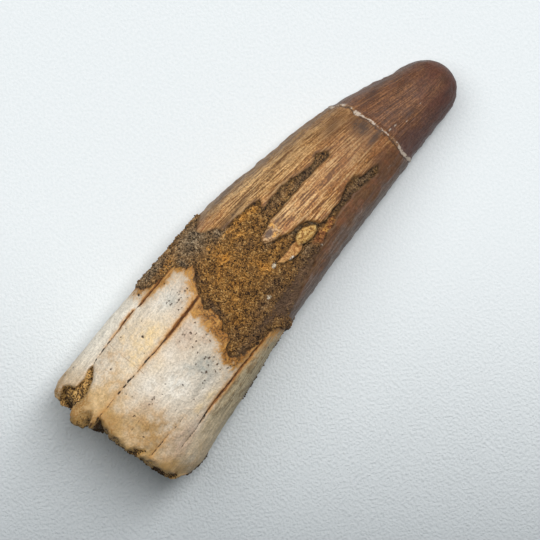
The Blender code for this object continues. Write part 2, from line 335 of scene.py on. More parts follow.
def bell(away, reach):
    """1 where away is 0, fading out on both sides over the reach."""
    return np.exp(-(away / reach) ** 2)


def through_points(x, column):
    """A smooth curve through one column of the stations, read at x."""
    known, value = np.array(STATIONS, float).T[[0, column]]
    slope = np.gradient(value, known)
    x = np.clip(x, known[0], known[-1])
    at = np.clip(np.searchsorted(known, x) - 1, 0, len(known) - 2)
    step = known[at + 1] - known[at]
    share = (x - known[at]) / step
    rest = 1.0 - share
    ends = value[at] * rest * rest * (1 + 2 * share) + value[at + 1] * share * share * (1 + 2 * rest)
    bends = slope[at] * step * share * rest * rest - slope[at + 1] * step * share * share * rest
    return ends + bends


def section(x):
    """The oval at x: its middle y and z, and its half-width and half-height."""
    front, rear, low, high = (through_points(x, column) for column in (1, 2, 3, 4))
    return (front + rear) / 2, (low + high) / 2, (front - rear) / 2, (high - low) / 2


def on_body(x, angle, share=1.0):
    """A point of the plain body. The angle is 0 on top and a quarter turn at the front edge."""
    mid_y, mid_z, half_width, half_height = section(x)
    y = mid_y + half_width * share * np.sin(angle)
    z = mid_z + half_height * share * np.cos(angle)
    return np.stack([x + 0 * y, y, z], axis=-1)


def angle_at(x, y, top=True):
    """The angle round the body of a point seen from straight above or below."""
    mid_y, _, half_width, _ = section(np.asarray(x, float))
    lean = np.arcsin(np.clip((y - mid_y) / half_width, -1.0, 1.0))
    return lean if top else math.pi - lean


print("widest at x = -41:", [round(float(v), 1) for v in section(np.array(-41.0))])

# %% [markdown]
# The edge of the crust or a split is a line on the tooth. It could be cut into the mesh, but
# then every change would need a new mesh. So lines are drawn as points seen from above or from
# below, and each point of the skin later measures how far it is from them, by a k-d tree.

# %% Lines on the body
def ring_of(top, under):
    """Two lists of x, y points, one for each side, as x against angle once round the tooth."""
    pairs = [(float(angle_at(x, y, True)), x) for x, y in top]
    pairs += [(float(angle_at(x, y, False)), x) for x, y in under]
    return sorted(pairs)


def x_on_ring(ring, angle):
    """Where a ring_of line is at an angle."""
    known = [pair[0] for pair in ring]
    turned = (angle - known[0]) % (2 * math.pi) + known[0]
    return np.interp(turned, known + [known[0] + 2 * math.pi], [pair[1] for pair in ring] + [ring[0][1]])


def finely(points, spacing=0.08):
    """More points along a line of 3-D points, no further apart than the spacing."""
    steps = [np.linspace(a, b, max(2, int(np.linalg.norm(b - a) / spacing)), endpoint=False)
             for a, b in zip(points[:-1], points[1:])]
    return np.concatenate(steps + [points[-1:]])


def ring_line(ring):
    """A ring_of line as 3-D points on the body."""
    angles = np.linspace(0, 2 * math.pi, 1441)
    return finely(on_body(x_on_ring(ring, angles), angles))


def side_line(points, top=True):
    """x, y points on one side of the tooth as 3-D points on the body."""
    x, y = np.array([point[:2] for point in points], float).T
    return on_body(x, angle_at(x, y, top))


def distance_to(skin, line, reach=6.0):
    """How far each point is from a line of close points, and which of them is nearest."""
    tree = kdtree.KDTree(len(line))
    for i, point in enumerate(line):
        tree.insert(point, i)
    tree.balance()
    low, high = line.min(axis=0) - reach, line.max(axis=0) + reach
    flat = skin.reshape(-1, 3)
    gap = np.full(len(flat), reach)
    nearest = np.zeros(len(flat), int)
    for i in np.flatnonzero(((flat > low) & (flat < high)).all(axis=1)):
        _, nearest[i], gap[i] = tree.find(flat[i])
    return np.minimum(gap, reach).reshape(skin.shape[:-1]), nearest.reshape(skin.shape[:-1])


print("at x = 0, y = 6 is", round(math.degrees(angle_at(0, 6.0))), "degrees round from the top")

# %% [markdown]
# A closed mark, such as the chip, is an outline of x, y points, and what counts is how far a
# point is inside it. Lumps are noise that is measured at the points themselves, for uneven
# surfaces and for ragged edges. A displacement picture would do it too, but only up to its
# own sharpness.

# %% Outlines and lumps
def inside_outline(skin, corners):
    """How far each point, seen from above, is inside an outline. Outside it is below zero."""
    x, y = skin[..., 0], skin[..., 1]
    gap = np.full(x.shape, 9.0)
    inside = np.zeros(x.shape, bool)
    for (ax, ay), (bx, by) in zip(corners, corners[1:] + corners[:1]):
        share = ((x - ax) * (bx - ax) + (y - ay) * (by - ay)) / ((bx - ax) ** 2 + (by - ay) ** 2)
        share = np.clip(share, 0, 1)
        gap = np.minimum(gap, np.hypot(x - ax - share * (bx - ax), y - ay - share * (by - ay)))
        slope = (bx - ax) / (by - ay) if by != ay else 0.0
        inside ^= ((ay > y) != (by > y)) & (x < ax + (y - ay) * slope)
    return np.where(inside, gap, -gap)


def lumps(points, size, seed, octaves=3):
    """Lumps of about the given size, from -1 to 1, at each point."""
    offset = Vector((seed * 17.3, seed * 5.1, seed * 9.7))
    flat = points.reshape(-1, 3) / size + np.array(offset)
    found = [noise.fractal(point, 1.0, 2.0, octaves) for point in flat]
    return np.array(found).reshape(points.shape[:-1])


def layered(points, layers):
    """The sum of several sizes of lumps. Each layer is height, size, seed and octaves."""
    return sum(height * lumps(points, *settings) for height, *settings in layers)


print("lumps at the origin:", round(float(lumps(np.zeros((1, 3)), 1.7, 3)[0]), 2))

# %% [markdown]
# The sandy crust lies in a band between the bone of the root and the enamel of the crown. Its
# two edges wander once round the tooth, and so does the ragged rim of the broken root. Each is
# a list of points for the top and one for the underside, because both sides differ.

# %% Rim and crust edges, in millimetres
# y, and how far the rim reaches past ROOT_END_X there
TOP_RIM = ((-15.2, -2.4), (-14.4, -0.9), (-13.2, -0.5), (-11.5, -0.8), (-9, -1.3), (-6, -0.5), (-3, -0.4),
           (-1, -0.6), (0.2, -0.1), (1.4, -0.6), (2.4, -0.3), (3.4, 0.5), (4.4, 0.9), (5.4, -0.5),
           (6.4, -0.2), (7.2, 2), (8.1, 2.5), (8.6, 0.4), (9.4, 0), (10.8, -0.1), (11.8, -0.6),
           (12.9, 0.9), (13.4, 0))
UNDER_RIM = ((-15, -3.4), (-12.6, -1.8), (-9, -2.4), (-5, -1.2), (-2, -1.9), (1, -0.9), (5, -1.8),
             (8, -0.6), (11, -0.7), (13.2, -1.2))
REAR_CORNER, CORNER_FROM_X, CORNER_TO_X = 0.85, -40.5, -35.6  # how far the rear corner is rounded off
RIM_REACH = 8.0

BONE_MARGIN_TOP = ((-8.2, -11.7), (-8.9, -10.6), (-9.6, -9.9), (-13, -9.6), (-15.6, -9.1), (-17.4, -8.4),
                   (-18.4, -7.2), (-17.8, -6), (-16.2, -5.2), (-15.7, -4.4), (-16, -3.1), (-14.7, -2.2),
                   (-14.2, -0.8), (-14.4, 0.8), (-14.9, 1.9), (-14.2, 3.2), (-13.6, 4.3), (-12.4, 5.6),
                   (-11.3, 7), (-10.2, 8.5), (-11.4, 8.9), (-12, 9.6), (-12.2, 10.7), (-15.5, 11),
                   (-18.1, 11.4), (-19.2, 12.3), (-19.8, 13.3))
BONE_MARGIN_UNDER = ((-9, -10.9), (-12.4, -9.6), (-11.4, -6.4), (-13.6, -3.6), (-12, 0.2), (-14.6, 3.8),
                     (-12.6, 7.4), (-14.4, 10.2), (-18.2, 12.2))
CROWN_MARGIN_TOP = ((-7, -11.4), (-6.4, -10.4), (-3.6, -9.5), (0.4, -8.6), (4, -7.6), (7.4, -7),
                    (9, -6.2), (9.8, -5), (9.5, -3.9), (9, -2.9), (8, -2.1), (6.2, -1.5), (4.4, -0.9),
                    (2.6, -0.1), (1, 0.6), (0.4, 1.4), (0.8, 2.2), (3.2, 2.7), (5.4, 3.3), (5.6, 4.8),
                    (5, 5.7), (5.8, 6.6), (4.6, 7.3), (1, 7.8), (-2.4, 8.2), (-2.9, 9.1), (-4, 10),
                    (-5.3, 10.9), (-5.5, 11.6), (-4.4, 12.3), (-2.8, 12.8))
CROWN_MARGIN_UNDER = ((-4.4, -10.4), (-3.2, -8.9), (1.8, -6.6), (-1.4, -4), (2.6, -0.6), (-2.2, 2.6),
                      (4.4, 5.2), (0.8, 8.6), (-2.6, 11.4), (-3.8, 12.6))
print(len(BONE_MARGIN_TOP) + len(BONE_MARGIN_UNDER), "points on the edge of the bone,",
      len(CROWN_MARGIN_TOP) + len(CROWN_MARGIN_UNDER), "on that of the crown")

# %% [markdown]
# Smaller marks are closed outlines seen from above: two tongues of sand along the crown's
# grooves, the chip and the notch in the rim, a yellow oval nodule with a pale tail, an island
# of enamel in the sand, and a rust-red patch. The tip broke off once and was glued back, and
# the break is a line round the tooth with its own width of glue at each y.

# %% Small marks, in millimetres
STREAK_ONE = ((3.6, 5.6), (6, 5.2), (9, 5.3), (12, 4.9), (14, 4.1), (16, 3.7), (17.4, 3.8), (18.4, 4.4),
              (19.4, 3.6), (20.2, 3.1), (19.8, 2.4), (16, 2.6), (12, 2.9), (6, 2.8), (3.6, 3.2))
STREAK_TWO = ((8, -4.4), (12, -4.5), (15.6, -4.4), (17.2, -3.7), (19.6, -3.5), (20.4, -4.4), (22.6, -4.7),
              (24, -5.5), (22.8, -6.1), (20.4, -5.7), (17, -5.3), (14, -5.2), (11, -6), (8, -6.3))
CHIP = ((-43.6, 10.8), (-42.6, 11.6), (-41.4, 12), (-40.5, 11.4), (-40, 10.3), (-38, 10), (-36.4, 10.4),
        (-34.9, 10.6), (-35.9, 9.5), (-37.2, 8.6), (-38.8, 8.1), (-41, 7.9), (-43.6, 8.5))
NOTCH = ((-44, 3.2), (-41.4, 3.6), (-41.6, 2.8), (-42.2, 2), (-43, 1.2), (-44, 1.4))
RIM_HOLLOWS = (
    ((-42.6, -4), (-41.8, -4.2), (-40.4, -6.3), (-41, -6.8), (-42.4, -5.6)),
    ((-42.6, -9), (-41.6, -9.4), (-41.2, -12), (-40.2, -13.6), (-41.2, -14.4), (-42.6, -12)),
)
NODULE = ((4, -3.4), (4.8, -2.5), (6, -2.1), (7.2, -2.3), (8.3, -3.1), (8.9, -3.8), (8.2, -4.6),
          (6.8, -4.8), (5.2, -4.5))
TAIL = ((-0.8, -2.7), (1, -2.8), (4.4, -2.8), (5, -4.6), (3.6, -4.8), (1.6, -4.4), (0, -3.7))
ISLAND = ((0.5, 1.4), (1.4, 0.6), (2.8, 0.1), (4.2, 0.2), (4.4, 2.7), (3.2, 2.5), (1.4, 2.2))
ISLAND_DARK = ((1.5, 1.4), (2.2, 1), (3.2, 1.3), (3.3, 2), (2.2, 2.2), (1.6, 1.9))
RUST = ((5.8, -5.3), (8.2, -5.2), (11.6, -5.1), (12.6, -5.8), (9, -6.2), (7.6, -6.7), (6.2, -6.1))
BREAK_TOP = ((28.4, -7.4), (28.8, -6.2), (29.3, -4.4), (29.2, -1.5), (29.1, 0.8), (28.8, 2.6),
             (28.5, 3.6), (28.7, 4.8), (28.3, 6.1), (27.4, 6.9), (26.3, 7.3))
BREAK_UNDER = ((28, -7.2), (27.2, -4), (28.4, -1), (27.4, 2), (26.2, 5), (26.3, 7.2))
BREAK_X = 28.5
BREAK_REACH = 5.0
# y, and half the width of the glue there
GLUE_WIDTH = ((-8, 0.3), (-6.4, 0.3), (-5, 0.2), (-3.6, 0.12), (-1.4, 0.1), (-0.4, 0.2), (0.6, 0.22),
              (1.4, 0.1), (2.4, 0.14), (3, 0.38), (3.6, 0.4), (4.2, 0.14), (5.4, 0.16), (6.2, 0.3),
              (7.6, 0.4))
print("the glued break is", round(NOSE_START_X + NOSE_LENGTH - BREAK_X, 1), "mm from the tip")

# %% [markdown]
# The root is split along its grain, as old bone splits when it dries. Knife cuts in the mesh
# would be equally wide all along, but a real split narrows, closes and opens again. So it is a
# list of x, y, half-width and strength of rust stain, and below 0 the split is only a line.

# %% Splits in the root
TOP_SPLITS = (
    ((-43.6, 3.5, 0.12, 0.1), (-41, 3.8, 0, 0.5), (-37.4, 3.8, -0.08, 0.6), (-36.4, 3.75, -0.15, 0.5),
     (-36, 3.75, 0.03, 0.4), (-35.5, 3.75, 0.04, 0.4), (-35.2, 3.8, -0.12, 0.4),
     (-34.9, 3.85, -0.12, 0.3), (-34.7, 3.85, 0.05, 0.2), (-34.1, 3.8, 0.07, 0.2),
     (-33.9, 3.8, -0.1, 0.4), (-33.5, 3.9, -0.1, 0.3), (-33.2, 3.95, 0.05, 0.2), (-31.9, 3.8, 0.04, 0.3),
     (-31.5, 3.75, -0.15, 0.4), (-31, 3.7, -0.06, 0.5), (-28.4, 3.8, 0.02, 0.6), (-25.5, 3.6, -0.01, 0.8),
     (-22, 3.6, 0.08, 1), (-17, 3.8, 0.09, 1), (-13.6, 4, 0.06, 1)),
    ((-34.8, 10.6, 0, 0.2), (-32.4, 10.8, -0.02, 0.3), (-31.8, 10.85, 0.08, 0.3), (-31, 10.9, -0.04, 0.5),
     (-28.8, 11, 0.1, 0.5), (-27.4, 11, 0.05, 0.7), (-25, 11.2, 0.08, 1), (-23.4, 11.2, 0.04, 1),
     (-22.4, 11.1, -0.06, 0.1), (-21.4, 11, 0.13, 1), (-19, 11, 0.12, 1), (-17, 11, 0.07, 1),
     (-12, 10.9, 0.05, 1)),
    ((-36, -10.9, 0, 0.2), (-31, -10.6, 0, 0.2), (-30, -10.5, 0.12, 0.3), (-28.4, -10.3, 0.12, 0.5),
     (-27.6, -10.2, 0.03, 0.9), (-24, -10, 0.09, 1), (-20, -9.9, 0.09, 1), (-10.4, -9.7, 0.06, 0.9)),
    ((-42, -2.2, -0.1, 0.35), (-38, -2.1, -0.1, 0.2), (-33.6, -1.9, -0.1, 0)),
    ((-42, -7.8, 0, 0.5), (-37, -7.6, -0.04, 0.5), (-31.6, -7.7, -0.08, 0.2)),
)
UNDER_SPLITS = (
    ((-44, -4.6, 0.2, 0.2), (-36, -5, 0.12, 0.4), (-26, -4.4, 0.1, 0.8), (-14, -4.8, 0.1, 1)),
    ((-44, 7.4, 0.2, 0.1), (-37, 7.8, 0.12, 0.3), (-27, 7.2, 0.08, 0.7), (-18, 7, 0.04, 0.4)),
)
HAIRLINE = ((-30.4, 13), (-30.3, 11), (-30.6, 9.2), (-30.5, 7), (-30.3, 5.4), (-30.5, 2.6))
# x, y and radius
PITS = ((-25.6, 7, 0.26), (-35.1, 2.7, 0.17), (-29, 5.7, 0.12), (-27.7, 4.9, 0.12), (-21.5, 5.8, 0.14),
        (-23.6, 8.9, 0.13), (-26.4, 10.2, 0.12), (-16.1, 10.1, 0.16), (-20.5, 12.3, 0.22),
        (-36.7, -6.2, 0.12))
print(len(TOP_SPLITS) + len(UNDER_SPLITS), "splits and", len(PITS), "pits")

# %% [markdown]
# The surface is one fine grid rolled up into the tooth. A grid this fine all over would be too
# heavy, so its rows are closer together where the detail is: round the broken rim, in the
# crust and at the glued break. The columns are closer where a split runs, so that a split a
# fifth of a millimetre wide has real walls.

# %% Rows and columns of the grid
COLUMNS = 320
# from x, to x, spacing of the rows
ROW_ZONES = ((-41.2, -36, 0.28), (-36, -20.5, 0.4), (-20.5, 12.5, 0.265), (12.5, 25.2, 0.55),
             (25.2, 30.6, 0.22), (30.6, 38.5, 0.48))
# how far in from ROOT_END_X, and share of the full width, across the broken face
FACE_PATH = ((2.7, 0), (2.7, 0.2), (2.3, 0.34), (0.6, 0.42), (0.2, 0.6), (0, 0.8), (0.3, 0.92), (1, 0.98),
             (1.9, 1))
FACE_RADIUS = 12
FACE_ROWS = 30
NOSE_ROWS = 22
NOSE_FULLNESS = 0.92
SPLIT_CROWD, SPLIT_CROWD_ANGLE = 1.6, 0.05


def row_places():
    """x and share of full width for each row, from the middle of the broken face to the tip."""
    inset, share = np.array(FACE_PATH).T
    run = np.concatenate([[0], np.cumsum(np.hypot(np.diff(inset), FACE_RADIUS * np.diff(share)))])
    at = np.linspace(0, run[-1], FACE_ROWS, endpoint=False)
    rows = [(ROOT_END_X + np.interp(a, run, inset), np.interp(a, run, share)) for a in at]
    for start, end, spacing in ROW_ZONES:
        rows += [(x, 1.0) for x in np.linspace(start, end, round((end - start) / spacing), endpoint=False)]
    for turn in np.linspace(0, math.pi / 2, NOSE_ROWS):
        rows.append((NOSE_START_X + NOSE_LENGTH * math.sin(turn), math.cos(turn) ** NOSE_FULLNESS))
    return np.array(rows)


def column_angles():
    """Angles once round the tooth, closer together where a split runs."""
    middles = [angle_at(*split[len(split) // 2][:2], top) % (2 * math.pi)
               for top, splits in ((True, TOP_SPLITS), (False, UNDER_SPLITS)) for split in splits]
    turn = np.linspace(0, 2 * math.pi, 7201)
    crowd = np.ones_like(turn)
    for middle in middles:
        away = np.abs((turn - middle + math.pi) % (2 * math.pi) - math.pi)
        crowd += SPLIT_CROWD * bell(away, SPLIT_CROWD_ANGLE)
    run = np.concatenate([[0], np.cumsum((crowd[1:] + crowd[:-1]) / 2)])
    return np.interp(np.arange(COLUMNS) / COLUMNS * run[-1], run, turn)


rows = row_places()
angles = column_angles()[None, :]
print(len(rows), "rows,", COLUMNS, "columns,", 2 * (len(rows) - 1) * COLUMNS, "triangles")

# %% [markdown]
# The plain skin has the body's ovals, the uneven rim of the broken root and the bent line of
# the glued break. The break could be drawn across the rows, but its edge would look stepped.
# So a row of the grid is pulled to the line, and the bead of glue follows it exactly.

# %% The plain skin
def plain_skin():
    """The body's ovals with the bent rim and break, and each point's row and share of the width."""
    x = rows[:, :1] + 0 * angles
    share = rows[:, 1:] + 0 * angles
    rim = ring_of(*[[(ROOT_END_X - past, y) for y, past in side] for side in (TOP_RIM, UNDER_RIM)])
    near_rim = 1.0 - smooth_between(ROOT_END_X, ROOT_END_X + RIM_REACH, x)
    near_edge = smooth_between(0.3, 0.9, share)
    moved = x + (x_on_ring(rim, angles) - ROOT_END_X) * near_rim * near_edge
    line = x_on_ring(ring_of(BREAK_TOP, BREAK_UNDER), angles) - BREAK_X
    moved = moved + line * np.clip(1 - np.abs(x - BREAK_X) / BREAK_REACH, 0, 1)
    return on_body(moved, angles + 0 * x, share), x, share


def grid_normals(skin):
    """Outward normals of the grid, whose columns join round the tooth."""
    along = np.gradient(skin, axis=0)
    around = np.roll(skin, -1, axis=1) - np.roll(skin, 1, axis=1)
    normal = np.cross(along, around)
    length = np.linalg.norm(normal, axis=-1, keepdims=True)
    flat = np.zeros_like(normal)
    flat[..., 0] = np.where(np.arange(len(skin)) < len(skin) // 2, -1.0, 1.0)[:, None]
    return np.where(length > 1e-6, normal / np.maximum(length, 1e-9), flat)


skin, row_x, share = plain_skin()
turned = angles + 0 * row_x
above = smooth_between(-0.2, 0.2, np.cos(turned))
print("plain skin", skin.shape)

# %% [markdown]
# Each mark becomes a field: how far a point is inside it or past it, in millimetres, one number
# for each point. The same fields shape the surface here and colour it later in the shader, so
# a colour can never slip off its form, as a painted picture could. A little noise makes the
# edges of the crust ragged.

# %% Fields
FAR = 9  # keeps a mark of the top side off the underside
# height, size, seed and octaves
RAGGED_LAYERS = (0.35, 1.7, 3, 3), (0.14, 0.6, 4, 2)
CROWN_RAGGEDNESS = 0.7
GLUE_WIDTH_UNDER = 0.2
GLUE_LUMPS = 0.14
HAIRLINE_REACH = 1.5

ragged = layered(skin, RAGGED_LAYERS)
bone_ring = ring_of(BONE_MARGIN_TOP, BONE_MARGIN_UNDER)
crown_ring = ring_of(CROWN_MARGIN_TOP, CROWN_MARGIN_UNDER)
to_bone_edge, _ = distance_to(skin, ring_line(bone_ring))
to_crown_edge, _ = distance_to(skin, ring_line(crown_ring))
past_bone = np.sign(skin[..., 0] - x_on_ring(bone_ring, turned)) * to_bone_edge + ragged
past_crust = np.sign(skin[..., 0] - x_on_ring(crown_ring, turned)) * to_crown_edge
past_crust = past_crust + CROWN_RAGGEDNESS * ragged


def mark_on_top(corners, raggedness=0.4):
    """The field of an outline on the top side, with a ragged edge."""
    return inside_outline(skin, corners) + raggedness * ragged - FAR * (1 - above)


streaks = np.maximum(mark_on_top(STREAK_ONE, 0.6), mark_on_top(STREAK_TWO, 0.9))
past_crust = np.minimum(past_crust, -streaks)
nodule = mark_on_top(NODULE, 0.25)
tail = mark_on_top(TAIL, 0.5)
island = mark_on_top(ISLAND)
island_dark = mark_on_top(ISLAND_DARK)
rust = mark_on_top(RUST, 1.0)
chip = mark_on_top(CHIP, 0.5)
notch = mark_on_top(NOTCH, 0.5)
rim_hollow = np.maximum(*[mark_on_top(corners, 1.0) for corners in RIM_HOLLOWS])
pit = np.max([radius - np.hypot(skin[..., 0] - x, skin[..., 1] - y) for x, y, radius in PITS], axis=0)
pit = pit - FAR * (1 - above)
hairline, _ = distance_to(skin, finely(side_line(HAIRLINE)), HAIRLINE_REACH)
into_crust = np.minimum(past_bone, -past_crust)
into_crust = np.minimum(into_crust, -np.maximum(np.maximum(nodule, tail), island))
from_break = row_x - BREAK_X
glue_width = np.interp(skin[..., 1], *np.array(GLUE_WIDTH).T)
glue = glue_width * above + GLUE_WIDTH_UNDER * (1 - above) - np.abs(from_break)
glue = glue + GLUE_LUMPS * lumps(skin, 0.55, 22, 2)
print("crust covers", round(100 * float((into_crust > 0).mean())), "% of the points")

# %% [markdown]
# A split is a field as well: the distance from its line less its half-width there. Its line
# is pushed about by noise, since no split is straight. The stain that has crept out of it into
# the bone is kept as a share from 0 to 1, which fades with the distance.

# %% Split fields
NO_SPLIT = 6.0
STAIN_REACH = 0.55
SPLIT_REACH = 3.0
SPLIT_WANDER = 0.12

split_gap = np.full(turned.shape, NO_SPLIT)
wander = SPLIT_WANDER * lumps(skin, 2.5, 7, 2)
wandering = skin + wander[..., None] * np.array([0, 1, 0])
split_stain = np.zeros(turned.shape)
for top, splits in ((True, TOP_SPLITS), (False, UNDER_SPLITS)):
    side = above if top else 1 - above
    for split in splits:
        line = finely(side_line(split, top))
        known = [point[0] for point in split]
        widths = np.interp(line[:, 0], known, [point[2] for point in split])
        stains = np.interp(line[:, 0], known, [point[3] for point in split])
        gap, nearest = distance_to(wandering, line, SPLIT_REACH)
        gap = gap - widths[nearest] + NO_SPLIT * (1 - side)
        fade = np.exp(-np.maximum(gap, 0) / STAIN_REACH)
        split_stain = np.maximum(split_stain, stains[nearest] * fade * side)
        split_gap = np.minimum(split_gap, gap)
in_bone = smooth_between(0.0, 0.6, -past_bone) * smooth_between(0.93, 1.0, share)
print("deepest part of a split is", round(float(-split_gap.min()), 2), "mm inside its edge")

# %% [markdown]
# Relief is how far each point stands out of the plain body. It could be sculpted, but numbers
# can be corrected one by one, so layers are added one after another. The crust is lumpy sand.
# It swells at the front and rear sides, lies lower on top and below, and has a groove along
# the bone.

# %% Relief of the crust
CRUST_RISE_FRONT = 0.28
CRUST_RISE_REAR = 0.25
CRUST_SINK = 0.4
MARGIN_GROOVE = 0.3
# height, size, seed and octaves
CRUST_LAYERS = (0.34, 2.4, 1, 3), (0.16, 0.9, 5, 2), (0.06, 0.45, 6, 1)

crust = smooth_between(-0.25, 0.25, into_crust)
front = smooth_between(0.55, 0.95, np.sin(turned))
rear = smooth_between(0.7, 0.98, -np.sin(turned))
relief = crust * (CRUST_RISE_FRONT * front + CRUST_RISE_REAR * rear - CRUST_SINK * (1 - front - rear))
relief += crust * layered(skin, CRUST_LAYERS)
relief -= MARGIN_GROOVE * bell(past_bone - 0.25, 0.35) * (1 - front - rear)
print("crust relief in mm:", round(float(relief.min()), 2), "to", round(float(relief.max()), 2))

# %% [markdown]
# Enamel has a fine grain and broad flutes that run along the tooth, a raised lip where it meets
# the sand, and uneven sides. A grain along X would be cut off where the tooth bends, so the
# noise is measured on a straight rod, stretched along it. It fades towards the worn tip.

# %% Relief of the enamel
ROD_RADIUS = 10.0
GRAIN_HEIGHT, GRAIN_STRETCH = 0.04, np.array([0.09, 1.0, 1.0])
FLUTE_HEIGHT, FLUTE_STRETCH = 0.07, np.array([0.05, 1.0, 1.0])
UNEVEN_SIDES = 0.18
LIP_HEIGHT = 0.1
FADE_FROM_X, FADE_TO_X = 28, 38

rod = np.stack([row_x, ROD_RADIUS * np.sin(turned), ROD_RADIUS * np.cos(turned)], axis=-1)
enamel = smooth_between(0.0, 0.6, past_crust) * smooth_between(0.2, 0.7, share)
grain = lumps(rod * GRAIN_STRETCH, 0.6, 8, 2)
flutes = lumps(rod * FLUTE_STRETCH, 2.6, 9, 1)
before_tip = 1 - 0.6 * smooth_between(FADE_FROM_X, FADE_TO_X, row_x)
relief += enamel * (GRAIN_HEIGHT * grain + FLUTE_HEIGHT * flutes) * before_tip
relief += enamel * UNEVEN_SIDES * lumps(skin, 1.6, 19) * smooth_between(0.35, 0.9, np.abs(np.sin(turned)))
relief += enamel * LIP_HEIGHT * bell(past_crust, 0.6)
print("flutes stand out by", FLUTE_HEIGHT, "mm, their grain by", GRAIN_HEIGHT, "mm")

# %% [markdown]
# Bone is uneven in two sizes, with a faint ring in the bleached part. Each split lies in a soft
# dip and then drops steeply. The pits are small round holes, and the rear corner of the broken
# root is rounded off. All of these could be separate cuts, but a sum of depths never tears.

# %% Relief of the bone
SPLIT_DEPTH = 0.6
SPLIT_DIP = 0.14
HAIRLINE_DEPTH = 0.05
PIT_DEPTH = 0.3
RING_X, RING_Y, RING_RADIUS, RING_HEIGHT = -28.0, -3.4, 2.6, 0.14
# height, size, seed and octaves
BONE_LAYERS = (0.1, 3.4, 10, 3), (0.07, 1.3, 11, 3)

bone = smooth_between(0.0, 0.8, -past_bone)
relief += bone * layered(skin, BONE_LAYERS)
from_ring = np.hypot(skin[..., 0] - RING_X, skin[..., 1] - RING_Y) - RING_RADIUS
relief += bone * above * RING_HEIGHT * bell(from_ring, 0.6)
relief -= in_bone * SPLIT_DIP * np.exp(-np.maximum(split_gap, 0))
relief -= in_bone * SPLIT_DEPTH * smooth_between(-0.12, 0.06, -split_gap)
relief -= in_bone * HAIRLINE_DEPTH * bell(hairline, 0.12)
relief -= PIT_DEPTH * smooth_between(-0.1, 0.12, pit)
relief -= REAR_CORNER * rear * (1 - smooth_between(CORNER_FROM_X, CORNER_TO_X, skin[..., 0]))
print("relief so far, in mm:", round(float(relief.min()), 2), "to", round(float(relief.max()), 2))

# %% [markdown]
# The chip, the notch and the hollows of the rim are torn bone with sand in it, so their
# floors are spongy: the same lumps at a small scale, with only the hollows kept. They sink
# straight down, not along the normal, and so the rim keeps its outline seen from above.

# %% Torn places
CHIP_DEPTH = 1.5
NOTCH_DEPTH = 2.0
HOLLOW_DEPTH = 0.6
SPONGE_DEPTH = 0.8
BREAKAGE_REACH = 3.0
# height, size, seed and octaves
BREAKAGE_LAYERS = (0.45, 2.6, 2, 3), (0.22, 1.0, 14, 2)

sponge = np.minimum(0, lumps(skin, 1.1, 12, 2)) + 0.5 * np.minimum(0, lumps(skin, 0.5, 13, 1))
torn = np.maximum(np.maximum(chip, notch), rim_hollow)
sunk = CHIP_DEPTH * smooth_between(-0.35, 0.5, chip) + NOTCH_DEPTH * smooth_between(-0.3, 0.4, notch)
spongy = SPONGE_DEPTH * smooth_between(-0.1, 0.3, torn) * sponge
sunk += HOLLOW_DEPTH * smooth_between(-0.3, 0.3, rim_hollow) - spongy
broken = (1 - smooth_between(0.9, 1.0, share)) * (row_x < 0)
broken = np.maximum(broken, 1 - smooth_between(ROOT_END_X, ROOT_END_X + BREAKAGE_REACH, row_x))
relief += broken * layered(skin, BREAKAGE_LAYERS)
in_face = (1 - smooth_between(0.86, 0.97, share)) * (row_x < 0)
relief += in_face * (0.35 * np.minimum(0, lumps(skin, 0.8, 15, 2)) + 0.1 * lumps(skin, 0.4, 16, 1))
print("the chip and the notch sink by up to", round(float(sunk.max()), 1), "mm")

# %% [markdown]
# The nodule, its tail, the island and the bead of glue stand out. The nodule is a small stone
# in the sand, with a moat round it. The enamel is grooved on the root's side of the bead and
# steps down on the tip's side, where the piece was glued back a little too deep. Each of these
# is one more layer of relief, since a separate stone would show a seam round it.

# %% The nodule, the glued break and the tip
NODULE_HEIGHT = 0.6
MOAT_DEPTH = 0.35
ISLAND_HEIGHT = 0.3
BREAK_BEAD = 0.1
BREAK_GROOVE = 0.08
TIP_STEP = 0.15
TIP_LUMPS = 0.08
WORN_FROM_X, WORN_TO_X = 36, 44

raised = smooth_between(-0.2, 0.35, np.maximum(tail, island))
stone = NODULE_HEIGHT * smooth_between(-0.3, 0.7, nodule) * (1 + 0.25 * lumps(skin, 1.2, 20, 2))
relief += stone + ISLAND_HEIGHT * raised
relief -= MOAT_DEPTH * bell(nodule + 0.45, 0.3)
bead = smooth_between(-0.15, 0.15, glue) * (0.6 + 0.8 * lumps(skin, 1.1, 17, 2))
relief += BREAK_BEAD * bead - TIP_STEP * smooth_between(0.2, 0.9, from_break) * share
relief -= BREAK_GROOVE * bell(from_break + 0.42, 0.2)
worn_tip = smooth_between(WORN_FROM_X, WORN_TO_X, row_x)
relief += worn_tip * TIP_LUMPS * lumps(skin, 3.0, 18, 2)
print("relief in mm:", round(float(relief.min()), 2), "to", round(float(relief.max()), 2))

# %% [markdown]
# The grid operator makes the mesh, and its corners are then moved to the skin. That keeps the
# faces in order, which a remesh would not. The two long edges meet and are merged, and the
# first and last rows close to a point. Where the tooth would sink into the table it is
# flattened, as on the solid.

# %% Build the tooth's mesh
SAME_PLACE = 1e-7


def closed_round(grid):
    """The grid with its first column once more at the end, which closes it round the tooth."""
    return np.concatenate([grid, grid[:, :1]], axis=1)


def finished_skin():
    """The skin with its relief and its sunken places, moved to the solid's place."""
    done = skin + grid_normals(skin) * relief[..., None]
    done[..., 2] -= sunk
    for end in (0, -1):
        done[end] = done[end].mean(axis=0)
    done[..., 1] -= MIDDLE_Y
    done[..., 2] = np.maximum(done[..., 2], 0.0)
    return done


